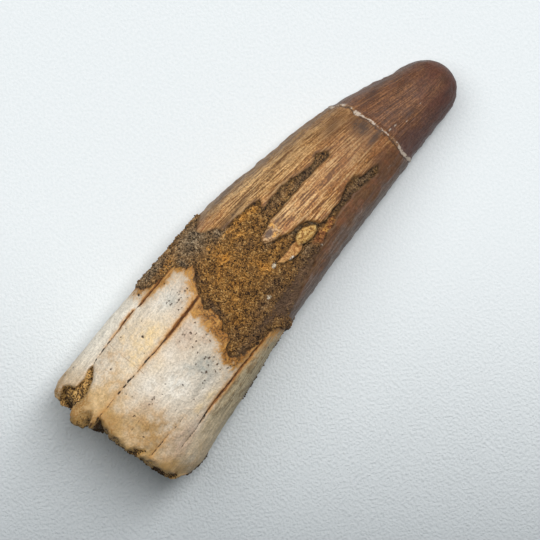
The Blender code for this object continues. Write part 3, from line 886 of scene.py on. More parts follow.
def rolled_grid(done):
    """A grid of faces, moved to the skin and closed round the tooth."""
    closed = closed_round(done).reshape(-1, 3) * MM
    bm = bmesh.new()
    bmesh.ops.create_grid(bm, x_segments=COLUMNS, y_segments=len(rows) - 1, size=1.0)
    layer = bm.verts.layers.int.new("grid_number")
    for i, (vertex, corner) in enumerate(zip(bm.verts, closed)):
        vertex.co = corner
        vertex[layer] = i
    seam = [v for i, v in enumerate(bm.verts)
            if i % (COLUMNS + 1) in (0, COLUMNS) or i < COLUMNS + 1 or i >= len(closed) - COLUMNS - 1]
    bmesh.ops.remove_doubles(bm, verts=seam, dist=SAME_PLACE)
    bmesh.ops.recalc_face_normals(bm, faces=bm.faces)
    return bm


skin_done = finished_skin()
tooth = placed(mesh_of(rolled_grid(skin_done), "fossil_tooth"))
tooth.data.shade_smooth()
print("fossil_tooth has", len(tooth.data.polygons), "faces")

# %% [markdown]
# Old bone and sand are never one colour. A picture could be laid on, but it would fit this one view only.
# So soft patches, such as the bleached bone or the darker sand, are listed as blurred spots: x, y, reach
# along, reach across, strength. The shader breaks them up later.

# %% Soft patches of colour
PATCHES = {
    "bleached": ((-28, -3, 4, 3.6, 1), (-31, 0.5, 4, 2, 0.8), (-18.5, 8, 3.8, 1.8, 0.9),
        (-23, 9.2, 3, 1.2, 0.4), (-30, 12.4, 7, 1.2, 0.6), (-25, -7.4, 4, 1.2, 0.6),
        (-22, 12.2, 3, 0.8, 0.5), (-25, 1.2, 1.6, 1.2, 0.7)),
    "honey": ((-25.4, 6, 4, 2.1, 1), (-29.2, 5.4, 3.4, 1.5, 0.8), (-26.5, 9, 3.2, 1.4, 0.55),
        (-27, -8.8, 4, 0.8, 0.6), (-28, 1.6, 2, 1, 0.3)),
    "slate": ((-22.5, -4.5, 2.2, 2, 0.9), (-24.6, -3.2, 0.9, 1.6, 0.8), (-24, -6.3, 3, 0.8, 0.6),
        (-17.5, 7, 1.6, 1.2, 0.5), (-20.4, -6, 1.2, 1.2, 0.5)),
    "mauve": ((-20.5, 1.4, 3.4, 1.8, 0.9), (-18.4, -1.6, 1.6, 1.8, 0.8), (-14.4, 7.2, 1.6, 1.4, 0.6),
        (-34, -1.4, 2.4, 1.2, 0.4), (-34, -10.2, 4.6, 1.8, 1), (-17.4, 5.6, 2.4, 0.7, 0.5)),
    "tan": ((-37, -5.6, 3.6, 2.4, 0.9), (-36, -8.6, 3, 1, 0.5), (-40, 0.6, 2, 1.6, 0.7),
        (-38.6, 12.4, 3, 0.8, 0.5), (-33.5, -4.4, 1.4, 1.6, 0.4)),
    "buff": ((-39.5, 6, 3.6, 1.8, 0.9), (-41.5, -1, 1.2, 2, 0.4), (-37, 2.2, 2.4, 1.2, 0.4),
        (-36.8, 12.2, 3, 0.8, 0.5)),
    "rusty": ((-16, -1, 1.8, 3.4, 1), (-16.6, -4.6, 1.4, 1.2, 0.8), (-18.6, -6.8, 1.4, 1.4, 0.8),
        (-16.4, 2.6, 1.8, 1, 0.8), (-19, -8.8, 3, 0.6, 0.5), (-16.6, 10.6, 3.4, 0.4, 0.6)),
    "speckled": ((-16.6, 6.6, 3, 2.2, 1), (-22.2, -5, 3, 2.6, 1), (-32.8, -1.7, 1.6, 0.8, 1),
        (-19, -1, 2.6, 2.6, 0.8), (-20.5, 5.2, 1.6, 1, 0.4), (-18.6, -8.6, 3, 1, 0.7),
        (-20, 11.8, 1.6, 0.8, 0.8), (-19.4, 1.4, 3.4, 1.8, 0.6), (-36, -6, 2, 1, 0.2)),
    "ochre": ((-5.8, 5, 1.4, 2, 1), (-8.8, 4.4, 2, 1.8, 0.5), (1, 7.3, 3, 0.45, 1),
        (-2.4, -1.6, 1.2, 1.4, 1), (-1.4, 5.4, 1.4, 0.8, 0.7), (-12.6, 9.6, 1, 0.6, 0.5),
        (-14, 11.6, 2.4, 0.5, 0.7), (3.6, 6.6, 1.2, 0.6, 0.8), (-8, 0.6, 3, 1.6, 0.4),
        (-4, 1.4, 2, 1.6, 0.4), (-10.6, -1.8, 2.4, 1.4, 0.4), (2.2, -1.4, 1.8, 0.5, 0.6),
        (-13, -4, 1.6, 1, 0.4), (11.4, -5.8, 1.4, 0.4, 0.8), (2.6, 4.6, 1.6, 0.5, 0.4)),
    "umber": ((-16, 13.2, 5, 1.8, 0.9), (-7, 11, 4.6, 2.4, 1), (-3.2, 8.8, 2.2, 1.2, 0.9),
        (-11.4, 9.8, 0.9, 1.2, 1), (6.4, -1.7, 1.8, 0.35, 1), (9, -3, 0.7, 1, 1),
        (1.4, 0.4, 1.6, 0.4, 0.6), (18.6, 2.5, 1.8, 0.4, 0.6), (8, 4.4, 4, 1, 0.3),
        (14, 3.4, 4, 0.9, 0.5), (21, -5, 3, 0.9, 0.6), (4.6, -5.6, 2, 0.6, 0.6)),
    "amber": ((-4.2, 11.4, 2, 1, 1), (-1, 10.3, 3.4, 0.8, 0.5), (5.5, 6, 2.6, 0.5, 0.7),
        (5, -0.2, 1.6, 0.5, 0.4), (16, -6.8, 1.6, 0.3, 0.6), (20, -6.6, 1.4, 0.3, 0.6)),
    "loam": ((-7.4, -6, 3.4, 1.1, 0.8), (8, 4.4, 3, 1, 0.4), (15.5, 3.3, 5, 0.9, 0.7),
        (20.5, -5, 4, 0.9, 0.8), (-4, -8.6, 5, 2.6, 1), (3.5, -6.8, 4.6, 1.4, 0.9),
        (-11, -8.2, 5, 1.6, 0.8), (-16, -8.2, 2.6, 1, 0.9), (16, -4.8, 6, 1, 0.9),
        (-8, -11.4, 2.4, 1.2, 1), (-3.6, -5.2, 3, 1.4, 0.7), (-13.8, 0.4, 0.7, 2.6, 0.9),
        (-11.6, 6.4, 1, 1.6, 0.6), (-15, -5.6, 1.6, 1.4, 0.5), (-2.6, 4.2, 1.2, 0.8, 0.5),
        (-1, 3, 1, 0.8, 0.5)),
    "crumbs": ((3.8, 2.2, 0.4, 0.9, 1), (3, 0.7, 0.8, 0.35, 1), (-2.4, 7.5, 1.4, 0.35, 1),
        (0.6, 7.3, 2.2, 0.4, 1), (3.4, 6.7, 1.3, 0.4, 1), (-1.4, 5.5, 0.8, 0.4, 0.9),
        (-6.2, 6, 0.5, 1.2, 0.9), (-7, 4.8, 1.2, 0.5, 0.8), (-3.6, 4.2, 0.9, 0.5, 0.7),
        (10, -5.8, 2.4, 0.4, 0.8), (-2.4, -2, 1.2, 0.8, 0.9), (-6.4, 8.2, 0.6, 0.4, 0.9),
        (-13.6, 11.4, 1.6, 0.5, 0.9), (-12, 9.8, 0.6, 0.6, 0.7)),
    "dusk": ((1, 8.6, 4.8, 0.5, 1), (27.3, 1.4, 1.5, 1.9, 1.7), (27.3, -1.8, 1.8, 0.6, 1.5),
        (18.4, -3.8, 2.2, 0.4, 0.9), (5.1, 1.9, 0.9, 0.4, 1), (22.5, -5.2, 3.5, 0.8, 0.6),
        (7.5, -1.4, 2, 0.3, 0.7), (24, 5.2, 2.6, 1.4, 0.7), (3, 12, 5, 0.4, 0.6),
        (15, 8.4, 3.6, 0.7, 0.5), (20, 7.4, 3, 0.5, 0.4), (8.5, 6, 2, 0.3, 0.5), (33, 3.6, 3, 0.6, 1),
        (34.5, -3.8, 1.2, 0.5, 0.8), (43.2, -4.5, 0.9, 0.7, 0.9), (41.8, -6.6, 1.6, 0.5, 0.8),
        (37.6, 0.4, 1.8, 0.3, 0.5), (31, -5.6, 1.2, 0.4, 0.6)),
    "grime": ((-41.8, -10.6, 0.6, 1.6, 1), (-41, -13, 0.6, 1.1, 1), (-42.4, -5, 0.4, 0.9, 0.8),
        (-44.6, 5, 0.5, 1.2, 0.7), (-43.4, 4, 0.8, 0.5, 0.9), (-41.6, -8.4, 0.8, 0.4, 0.5),
        (-42.8, -2, 0.3, 1.6, 0.5), (-38.6, -7.2, 0.5, 0.35, 0.6), (-43.6, 8.4, 0.5, 0.3, 0.9)),
    "chalk": ((30.1, -3, 0.6, 0.28, 0.52), (31.3, -3.2, 0.7, 0.28, 0.5), (33.2, -4.3, 0.5, 0.2, 0.52),
        (37.2, -4.1, 0.5, 0.2, 0.52), (1.7, -4.2, 0.5, 0.3, 1.4), (-1.3, -2.8, 0.5, 0.3, 1.4),
        (-6.1, -5.8, 0.45, 0.45, 0.9), (25, -7, 1.2, 0.3, 0.4), (-5.9, -5.4, 0.2, 0.25, 0.7),
        (7, -6.9, 0.25, 0.2, 0.6)),
}
# x, and how dark the band along the rear edge is there
REAR_EDGE_DARKENING = ((-43, 1), (-34.5, 1), (-33, 0.3), (-24.5, 0.4), (-22, 0.9), (-13, 0.8), (-8, 1), (-7, 0))
print(sum(len(spots) for spots in PATCHES.values()), "spots in", len(PATCHES), "kinds of patch")

# %% [markdown]
# The fields travel with the mesh as attributes, one number for each point. The rear edge also gets a dark
# band, at the widest part of the side, which thins out below, so that it looks right from the side as
# well.

# %% Fields on the mesh
RIM_WIDTH = 0.9
RUSTY_WIDTH = 2.2


def patch_field(spots):
    """The strongest of several blurred spots at each point."""
    field = np.zeros(turned.shape)
    for x, y, along, across, strength in spots:
        away = ((skin[..., 0] - x) / along) ** 2 + ((skin[..., 1] - y) / across) ** 2
        field = np.maximum(field, strength * np.exp(-away))
    return field


fields = {name: patch_field(spots) for name, spots in PATCHES.items()}
for name in fields.keys() - {"grime"}:
    fields[name] *= above
rear_darkening = np.interp(skin[..., 0], *np.array(REAR_EDGE_DARKENING).T) * (np.sin(turned) < 0)
above_edge = np.maximum(np.cos(turned) + 0.05, 0)
below_edge = np.maximum(-np.cos(turned) - 0.05, 0)
rear_darkening = rear_darkening * np.exp(-(above_edge / 0.2) ** 2 - (below_edge / 0.8) ** 2)
rear_darkening = rear_darkening * smooth_between(-0.35, 0.35, lumps(skin, 0.7, 23, 3) + 0.3 - 1.6 * below_edge)
rear_darkening = rear_darkening * (1 - 0.45 * smooth_between(0.02, 0.2, below_edge))
fields["grime"] = np.maximum(fields["grime"], rear_darkening)
fields["rusty"] = past_bone + RIM_WIDTH + RUSTY_WIDTH * fields["rusty"]
# painted shadow: a dark band just inside the crust's edge, where it lies below the enamel
at_edge = bell(into_crust - 0.1, 0.2)
fields["crust_edge_shadow"] = at_edge * smooth_between(-1, 3, skin[..., 0]) * above
fields["ochre"] *= smooth_between(-0.45, 0.25, lumps(skin, 1.1, 21, 3))
fields.update(past_bone=past_bone, past_crust=past_crust, into_crust=into_crust, nodule=nodule,
              tail=tail, island=island, island_dark=island_dark, rust=rust, torn=torn, notch=notch,
              pit=pit, hairline=hairline, glue=glue, split_stain=split_stain,
              split_gap=np.where(in_bone > 0.02, split_gap, NO_SPLIT),
              from_break=from_break, broken_face=in_face, turn_front=np.sin(turned))

grid_number = np.zeros(len(tooth.data.vertices), np.int32)
tooth.data.attributes["grid_number"].data.foreach_get("value", grid_number)


def give_field(name, grid, kind="FLOAT", key="value"):
    """Stores what the grid holds for each of its corners on the tooth's points."""
    closed = closed_round(grid)
    held = closed.reshape(closed.shape[0] * closed.shape[1], -1)[grid_number]
    layer = tooth.data.attributes.new(name, kind, "POINT")
    layer.data.foreach_set(key, held.astype(np.float32).ravel())


for name, grid in fields.items():
    give_field(name, grid)
give_field("rod_place", rod, "FLOAT_VECTOR", "vector")
print("fields:", ", ".join(fields))

# %% [markdown]
# Three effects are used more than once: specks, which give every small cell its own tone as
# sand grains have; pores, which are small dark holes here and there; and fibres, which are
# long streaks that follow the tooth. Copied nodes would drift apart, so each effect is one node
# group with sizes in millimetres, and gives only masks. A new group starts as a few sockets.

# %% A new node group
def new_group(name, inputs, outputs):
    """A shader group with named float or vector inputs and float outputs."""
    tree = bpy.data.node_groups.new(name, "ShaderNodeTree")
    for socket, kind, value in inputs:
        made = tree.interface.new_socket(socket, in_out="INPUT", socket_type="NodeSocket" + kind)
        if value is not None:
            made.default_value = value
    for socket in outputs:
        tree.interface.new_socket(socket, in_out="OUTPUT", socket_type="NodeSocketFloat")
    return tree, tree.nodes.new("NodeGroupInput").outputs, tree.nodes.new("NodeGroupOutput").inputs


def scaled(tree, where, size):
    """A place divided by a size, so that a pattern of unit size fits it."""
    share = calc(tree, "DIVIDE", 1.0, size)
    return add(tree, "VectorMath", {0: where, "Scale": share}, operation="SCALE")


print("ready to make groups")

# %% [markdown]
# Specks and pores both come from a cell pattern: a cell's colour is one random number, and the
# distance to its middle makes a round shape. Round lumps of noise would all look alike. The
# fibres are noise that is stretched along the rod.

# %% Specks, pores and fibres
def specks_group():
    """A tone for each small cell, and the height of a round grain in it."""
    sockets = (("Place", "Vector", None), ("Size", "Float", 0.4))
    tree, inside, outside = new_group("specks", sockets, ("Tone", "Height"))
    where = scaled(tree, inside["Place"], inside["Size"])
    cell = add(tree, "TexVoronoi", {"Vector": where, "Scale": 1, "Randomness": 1}, out="Color")
    away = add(tree, "TexVoronoi", {"Vector": where, "Scale": 1, "Randomness": 1}, out="Distance")
    tone = add(tree, "SeparateColor", {0: cell}, out=0)
    tree.links.new(tone, outside["Tone"])
    tree.links.new(ramp(tree, away, 0, 0.75, 1, 0), outside["Height"])
    return tree


def pores_group():
    """Small round holes in a share of the cells."""
    sockets = (("Place", "Vector", None), ("Spacing", "Float", 1.2), ("Size", "Float", 0.2),
               ("Share", "Float", 0.3))
    tree, inside, outside = new_group("pores", sockets, ("Hole",))
    where = scaled(tree, inside["Place"], inside["Spacing"])
    cell = add(tree, "TexVoronoi", {"Vector": where, "Scale": 1}, out="Color")
    away = add(tree, "TexVoronoi", {"Vector": where, "Scale": 1}, out="Distance")
    chance = add(tree, "SeparateColor", {0: cell}, out=0)
    width = add(tree, "SeparateColor", {0: cell}, out=1)
    open_here = calc(tree, "LESS_THAN", chance, inside["Share"])
    reach = both(tree, inside["Size"], ramp(tree, width, 0, 1, 0.4, 1.3))
    reach = calc(tree, "DIVIDE", reach, inside["Spacing"])
    hole = calc(tree, "SUBTRACT", 1, calc(tree, "DIVIDE", away, reach))
    tree.links.new(both(tree, open_here, ramp(tree, hole, 0, 0.6)), outside["Hole"])
    return tree


def fibres_group():
    """Noise that is drawn out along the rod."""
    sockets = (("Rod Place", "Vector", None), ("Width", "Float", 0.6), ("Length", "Float", 8))
    tree, inside, outside = new_group("fibres", sockets, ("Tone",))
    stretch = add(tree, "CombineXYZ", {"X": calc(tree, "DIVIDE", inside["Width"], inside["Length"]),
                                       "Y": 1, "Z": 1})
    where = add(tree, "VectorMath", {0: inside["Rod Place"], 1: stretch}, operation="MULTIPLY")
    where = scaled(tree, where, inside["Width"])
    inputs = {"Vector": where, "Scale": 1, "Detail": 3, "Roughness": 0.6}
    tree.links.new(add(tree, "TexNoise", inputs, out="Fac"), outside["Tone"])
    return tree


GROUPS = {"specks": specks_group(), "pores": pores_group(), "fibres": fibres_group()}


def use(tree, name, inputs, out=0):
    """Places a group in a material with its own values."""
    return add(tree, "Group", inputs, out=out, node_tree=GROUPS[name])


print("groups:", ", ".join(GROUPS))

# %% [markdown]
# The root's bone is tan at the broken end and bleached further up, with mottling, fine fibres, pores, and
# an orange rim of iron stain where it meets the sand. Its front-facing side is lightened as a painted
# highlight, and a painted shade darkens the bone's edge along the sand. It could be painted by hand on the
# mesh, but its points are too far apart for the grain of bone. So each step lays one more colour over the
# last, through a mask made of a field and some noise.

# %% Bone of the root
BONE_PATCHES = (("tan", (178, 138, 82)), ("buff", (226, 194, 146)), ("bleached", (238, 232, 220)),
                ("mauve", (200, 177, 156)), ("honey", (242, 212, 160)), ("slate", (164, 168, 162)))


def bone_finish(tree, where, rod_where):
    """The bone's colour, and its fine height in millimetres."""
    broad = clouds(tree, where, 6, 3, 0.55)
    mottle = clouds(tree, where, 1.4, 5, 0.65)
    grit = clouds(tree, where, 0.34, 2, 0.6)
    fibres = use(tree, "fibres", {"Rod Place": rod_where, "Width": 0.35, "Length": 4})
    along = add(tree, "SeparateXYZ", {0: where}, out="X")
    shift = plus(tree, along, ramp(tree, broad, 0.3, 0.7, -3.5, 3.5))
    colour = paint_over(tree, ramp(tree, shift, -41.6, -31.2), (194, 156, 98), (230, 214, 192))
    tan_patch = both(tree, ramp(tree, mottle, 0.46, 0.6), ramp(tree, shift, -42, -26, 0.75, 0.25))
    colour = paint_over(tree, tan_patch, colour, (184, 144, 94))
    for name, tint in BONE_PATCHES:
        strength = both(tree, name, ramp(tree, mottle, 0.36, 0.58, 0.4, 1))
        colour = paint_over(tree, strength, colour, tint)
    side = both(tree, "turn_front", -1)
    drab = both(tree, ramp(tree, side, 0.72, 0.8), ramp(tree, along, -40, -30, 0.2, 1))
    worn = both(tree, drab, ramp(tree, along, -34, -22, 0.15, 1))
    uneven = plus(tree, ramp(tree, mottle, 0.4, 0.6, -0.6, 0.6), ramp(tree, grit, 0.4, 0.6, -0.3, 0.3))
    rust = plus(tree, "rusty", uneven)
    rust_tone = coats(tree, (104, 68, 34), (ramp(tree, grit, 0.42, 0.5), (164, 110, 48)),
                      (ramp(tree, mottle, 0.5, 0.58, 0, 0.8), (196, 144, 74)))
    # painted shade: a dark line along the bone's edge where it meets the sand
    margin_shade = plus(tree, "past_bone", ramp(tree, mottle, 0.4, 0.6, -0.35, 0.15))
    grimy = ramp(tree, shift, -40, -44)
    # painted highlight: warm lightens the front-facing side of the root
    warm = both(tree, ramp(tree, "turn_front", 0.72, 0.9, 0, 0.9), ramp(tree, mottle, 0.35, 0.6, 0.6, 1),
                ramp(tree, along, -40, -31, 0.35, 1))
    rear_tone = paint_over(tree, ramp(tree, along, -36, -22), (212, 192, 160), (190, 172, 136))
    colour = coats(tree, colour, (warm, (250, 240, 222)), (both(tree, drab, 0.9), rear_tone),
                   (both(tree, worn, ramp(tree, mottle, 0.5, 0.6), 0.6), (122, 96, 58)),
                   (both(tree, worn, ramp(tree, fibres, 0.5, 0.6), 0.5), (100, 86, 64)),
                   (both(tree, grimy, ramp(tree, grit, 0.42, 0.58)), (158, 116, 62)),
                   (ramp(tree, rust, -2.6, 0, 0, 0.6), (206, 168, 122)),
                   (ramp(tree, rust, -1.2, 0.1, 0, 0.75), (196, 146, 82)),
                   (ramp(tree, rust, -0.3, 0.6, 0, 0.95), rust_tone),
                   (both(tree, ramp(tree, "grime", 0.3, 0.9), ramp(tree, grit, 0.4, 0.54, 0.3, 1)),
                    (70, 48, 32)),
                   (ramp(tree, margin_shade, -0.4, -0.05, 0, 0.9), (76, 54, 34)))
    tones = both(tree, ramp(tree, grit, 0.38, 0.62, 0.85, 1.1), ramp(tree, mottle, 0.35, 0.65, 0.92, 1.05),
                 ramp(tree, fibres, 0.4, 0.6, 1.04, 0.93))
    colour = brightened(tree, colour, tones)
    spot_where = wobbled(tree, where, 0.3, 0.5)
    speckled = both(tree, "speckled", ramp(tree, mottle, 0.4, 0.56, 0.2, 1.2))
    crowd = ramp(tree, speckled, 0, 1, 0.02, 0.8)
    small = use(tree, "pores", {"Place": spot_where, "Spacing": 0.6, "Size": 0.22, "Share": crowd})
    crowd = ramp(tree, speckled, 0, 1, 0.03, 0.5)
    large = use(tree, "pores", {"Place": spot_where, "Spacing": 1.3, "Size": 0.3, "Share": crowd})
    holes = calc(tree, "MAXIMUM", small, large)
    colour = paint_over(tree, both(tree, holes, 0.9), colour, (84, 62, 46))
    height = plus(tree, both(tree, mottle, 0.4), both(tree, grit, 0.07))
    height = calc(tree, "SUBTRACT", height, both(tree, holes, 0.10))
    return colour, height


print("bone finish with", len(BONE_PATCHES), "kinds of patch")

# %% [markdown]
# Dirt and iron collect in the splits, the hairline and the torn places, so the stain is orange-brown
# around a crack. The nearly black inside of a split is partly dirt and partly painted shade, since shadow
# alone would leave the grooves too pale, as they are shallow, and the notch in the rim is darkened as
# painted shade as well. So they are coloured on top of the bone, by the same fields that sank them.

# %% Stained splits and torn bone
def splits_over(tree, where, colour):
    """The bone's colour with stains in its splits, its pits and its torn places, and painted shade in the
    splits and the notch.
    """
    soft = clouds(tree, where, 0.8, 3, 0.6)
    stain = both(tree, "split_stain", ramp(tree, soft, 0.25, 0.6, 0.6, 1.25))
    gap = plus(tree, "split_gap", ramp(tree, soft, 0.3, 0.7, -0.07, 0.07))
    spongy = clouds(tree, where, 0.6, 4, 0.7)
    torn_tone = paint_over(tree, ramp(tree, spongy, 0.38, 0.56), (92, 64, 32), (206, 162, 94))
    torn_tone = paint_over(tree, ramp(tree, spongy, 0.58, 0.7), torn_tone, (232, 204, 152))
    face = both(tree, "broken_face", 0.75)
    torn = calc(tree, "MAXIMUM", ramp(tree, "torn", -0.15, 0.15), face)
    # the split's dark core: partly dirt, partly painted shade
    split_dirt_and_shade = paint_over(tree, ramp(tree, stain, 0.4, 0.9), (38, 30, 24), (80, 46, 20))
    return coats(tree, colour, (ramp(tree, stain, 0.08, 0.6, 0, 0.75), (208, 156, 92)),
                 (ramp(tree, stain, 0.5, 0.9, 0, 0.95), (140, 88, 38)),
                 (ramp(tree, gap, 0.04, 0.16, 0.95, 0), split_dirt_and_shade),
                 (ramp(tree, "hairline", 0.05, 0.18, 0.6, 0), (150, 112, 76)),
                 (ramp(tree, "pit", -0.1, 0.06), (52, 40, 32)), (torn, torn_tone),
                 # painted shade: the notch's hollow is darkened
                 (ramp(tree, "notch", -0.1, 0.4, 0, 0.85), (48, 36, 26)))


print("stains for", len(TOP_SPLITS) + len(UNDER_SPLITS), "splits")

# %% [markdown]
# The enamel looks like polished wood: long thin streaks of golden tan and dark brown. It is golden in the
# middle of the crown and a darker red-brown towards the tip. Its front and rear edges carry a grey painted
# reflection, and its rear side is darker, partly its own brown and partly painted shade. Stretched noise
# could run straight along X, but the streaks have to close in towards the tip, so the noise is laid on the
# straight rod.

# %% Enamel of the crown
def enamel_finish(tree, where, rod_where):
    """The enamel's colour, and its fine height in millimetres."""
    hair = use(tree, "fibres", {"Rod Place": rod_where, "Width": 0.22, "Length": 3})
    fine = use(tree, "fibres", {"Rod Place": rod_where, "Width": 0.34, "Length": 6})
    wide = use(tree, "fibres", {"Rod Place": rod_where, "Width": 1.3, "Length": 16})
    broad = clouds(tree, where, 4.5, 3)
    mottle = clouds(tree, where, 1.6, 4, 0.6)
    grit = clouds(tree, where, 0.34, 2, 0.6)
    along = add(tree, "SeparateXYZ", {0: where}, out="X")
    shift = plus(tree, along, ramp(tree, broad, 0.3, 0.7, -4, 4))
    past_break = ramp(tree, "from_break", -0.1, 0.5)
    front = "turn_front"
    rear = plus(tree, both(tree, front, -1), ramp(tree, broad, 0.3, 0.7, -0.1, 0.1))
    streaks = plus(tree, both(tree, fine, 0.33), both(tree, wide, 0.16), both(tree, hair, 0.39),
                   both(tree, grit, 0.12))
    patchy = ramp(tree, grit, 0.38, 0.56, 0.4, 1)
    smudgy = both(tree, ramp(tree, grit, 0.4, 0.56, 0.5, 1), ramp(tree, mottle, 0.4, 0.52, 0.55, 1))
    near_sand = both(tree, ramp(tree, "past_crust", 0, 0.7, 0.7, 0), patchy)
    reddish = both(tree, ramp(tree, broad, 0.42, 0.62), ramp(tree, rear, -0.3, 0.3), 0.6)
    blotched = both(tree, ramp(tree, rear, 0.4, 0.6), ramp(tree, mottle, 0.5, 0.6), 0.5)
    # painted reflection: pale sheen lines near the rear edge
    rear_sheen_lines = both(tree, ramp(tree, rear, 0.7, 0.85), ramp(tree, fine, 0.52, 0.58), 0.5)
    olive = both(tree, ramp(tree, front, 0.35, 0.7), ramp(tree, broad, 0.35, 0.6, 0.4, 1), 0.7)
    colour = coats(tree, (186, 134, 76), (olive, (192, 156, 106)), (reddish, (162, 100, 46)),
                   (ramp(tree, streaks, 0.5, 0.45, 0, 0.85), (100, 62, 32)),
                   (ramp(tree, streaks, 0.505, 0.56, 0, 0.85), (222, 182, 128)),
                   (ramp(tree, shift, 11, 28, 0, 0.62), (116, 71, 36)),
                   (both(tree, "amber", ramp(tree, streaks, 0.53, 0.47, 0.4, 0.9)), (168, 100, 48)),
                   # painted reflection: grey along the front edge
                   (ramp(tree, front, 0.8, 0.98, 0, 0.7), (116, 90, 66)),
                   # partly painted shade: the rear side is darkened over the enamel's own darker brown
                   (ramp(tree, rear, 0.36, 0.6, 0, 0.85), (102, 68, 48)),
                   # painted reflection: the grey along the rear edge and the pale sheen lines beside it
                   (blotched, (128, 80, 52)), (ramp(tree, rear, 0.76, 0.94, 0, 0.75), (98, 84, 76)),
                   (rear_sheen_lines, (140, 124, 112)), (near_sand, (88, 62, 36)),
                   (both(tree, "dusk", smudgy), (78, 56, 40)))
    tip = coats(tree, (114, 74, 47), (ramp(tree, streaks, 0.5, 0.44, 0, 0.7), (74, 46, 32)),
                (ramp(tree, streaks, 0.51, 0.57, 0, 0.7), (160, 112, 72)),
                (ramp(tree, mottle, 0.52, 0.62, 0, 0.4), (88, 64, 54)),
                # partly painted shade: the tip's rear side is darkened over its own darker brown
                (ramp(tree, rear, 0.2, 0.8, 0, 0.8), (88, 64, 62)),
                (ramp(tree, shift, 35, 45, 0, 0.75), (86, 48, 36)),
                # painted reflection: grey along the front edge of the tip
                (ramp(tree, front, 0.7, 0.97, 0, 0.7), (108, 90, 82)),
                (both(tree, "dusk", smudgy), (70, 52, 46)))
    colour = paint_over(tree, past_break, colour, tip)
    tones = both(tree, ramp(tree, grit, 0.38, 0.62, 0.82, 1.14), ramp(tree, broad, 0.35, 0.65, 0.92, 1.05),
                 ramp(tree, mottle, 0.38, 0.62, 0.9, 1.08))
    colour = brightened(tree, colour, tones)
    height = plus(tree, both(tree, streaks, 0.2), both(tree, grit, 0.05))
    return colour, height


print("enamel finish ready")

# %% [markdown]
# The crust is sand cemented by iron. It could be made of modelled grains alone, but there are too many
# small ones. So its ground has cells of different tones for those, warmer in the ochre patches and nearly
# black-brown in the umber ones. Along its edges a painted shadow darkens it where it lies below the enamel
# and the bone. Larger grains of real geometry come later, on top, and share the same tones.

# %% Sandy crust
def crust_tone(tree, tone):
    """From a grain's tone, 0 to 1, to its colour, warmer or darker where the patches say so."""
    colour = coats(tree, (46, 32, 22), (ramp(tree, tone, 0.08, 0.34), (120, 86, 48)),
                   (ramp(tree, tone, 0.45, 0.8), (176, 128, 66)),
                   (ramp(tree, tone, 0.9, 1.05), (208, 166, 102)))
    warm = paint_over(tree, ramp(tree, tone, 0.1, 0.7), (104, 64, 28), (222, 156, 66))
    cold = coats(tree, (54, 47, 40), (ramp(tree, tone, 0.18, 0.48), (138, 120, 96)),
                 (ramp(tree, tone, 0.72, 1), (194, 178, 152)))
    dark = coats(tree, (46, 34, 26), (ramp(tree, tone, 0.1, 0.45), (114, 89, 66)),
                 (ramp(tree, tone, 0.8, 1.05), (154, 126, 94)))
    rusty = paint_over(tree, ramp(tree, tone, 0.1, 0.9), (118, 70, 42), (186, 122, 76))
    golden = paint_over(tree, ramp(tree, tone, 0, 0.8), (176, 116, 48), (230, 176, 96))
    crumbly = ramp(tree, clouds(tree, place(tree), 0.7, 3, 0.6), 0.53, 0.56)
    # painted shadow: the crust is darkened next to the raised bone
    shade_along_bone = ramp(tree, "past_bone", -0.1, 0.5, 0.85, 0)
    return coats(tree, colour, (both(tree, "ochre", 0.85), warm),
                 (ramp(tree, "grime", 0.3, 0.6, 0, 0.9), (78, 56, 36)),
                 (both(tree, "umber", 0.85), cold),
                 (both(tree, "loam", 0.9), dark),
                 # painted shadow along the crust's edge below the enamel
                 (both(tree, "crust_edge_shadow", 0.7), (50, 40, 30)),
                 (ramp(tree, "rust", -0.3, 0.3, 0, 0.8), rusty),
                 (ramp(tree, "chalk", 0.4, 0.8, 0, 0.9), (232, 218, 192)),
                 (shade_along_bone, (62, 46, 32)), (both(tree, ramp(tree, "crumbs", 0.2, 0.5), crumbly), golden))


def crust_finish(tree, where):
    """The crust's colour, and its fine height in millimetres."""
    tone = use(tree, "specks", {"Place": where, "Size": 0.31}, "Tone")
    bead = use(tree, "specks", {"Place": where, "Size": 0.31}, "Height")
    soft = clouds(tree, where, 1.2, 4, 0.7)
    tone = plus(tree, both(tree, tone, 0.9), ramp(tree, soft, 0.35, 0.65, -0.15, 0.3))
    colour = crust_tone(tree, tone)
    film = both(tree, ramp(tree, "turn_front", -0.62, -0.72), ramp(tree, "past_bone", 0.5, 3))
    film = both(tree, film, 0.75)
    sooty = both(tree, "umber", 0.2)
    colour = coats(tree, colour, (sooty, (44, 36, 30)), (film, (108, 83, 65)))
    return colour, both(tree, bead, 0.22)


print("crust finish ready")

# %% [markdown]
# The tooth could carry one material for each kind of surface, but then the edge between them would follow
# whole triangles. So its one material chooses between bone, enamel and crust by the fields, and then adds
# the nodule, the grey glue of the mended break and a few chalky specks, with a painted shadow beside the
# nodule and in the groove on the root's side of the glue.

# %% The tooth's material
BONE_ROUGHNESS, ENAMEL_ROUGHNESS, SAND_ROUGHNESS = 0.62, 0.46, 0.85


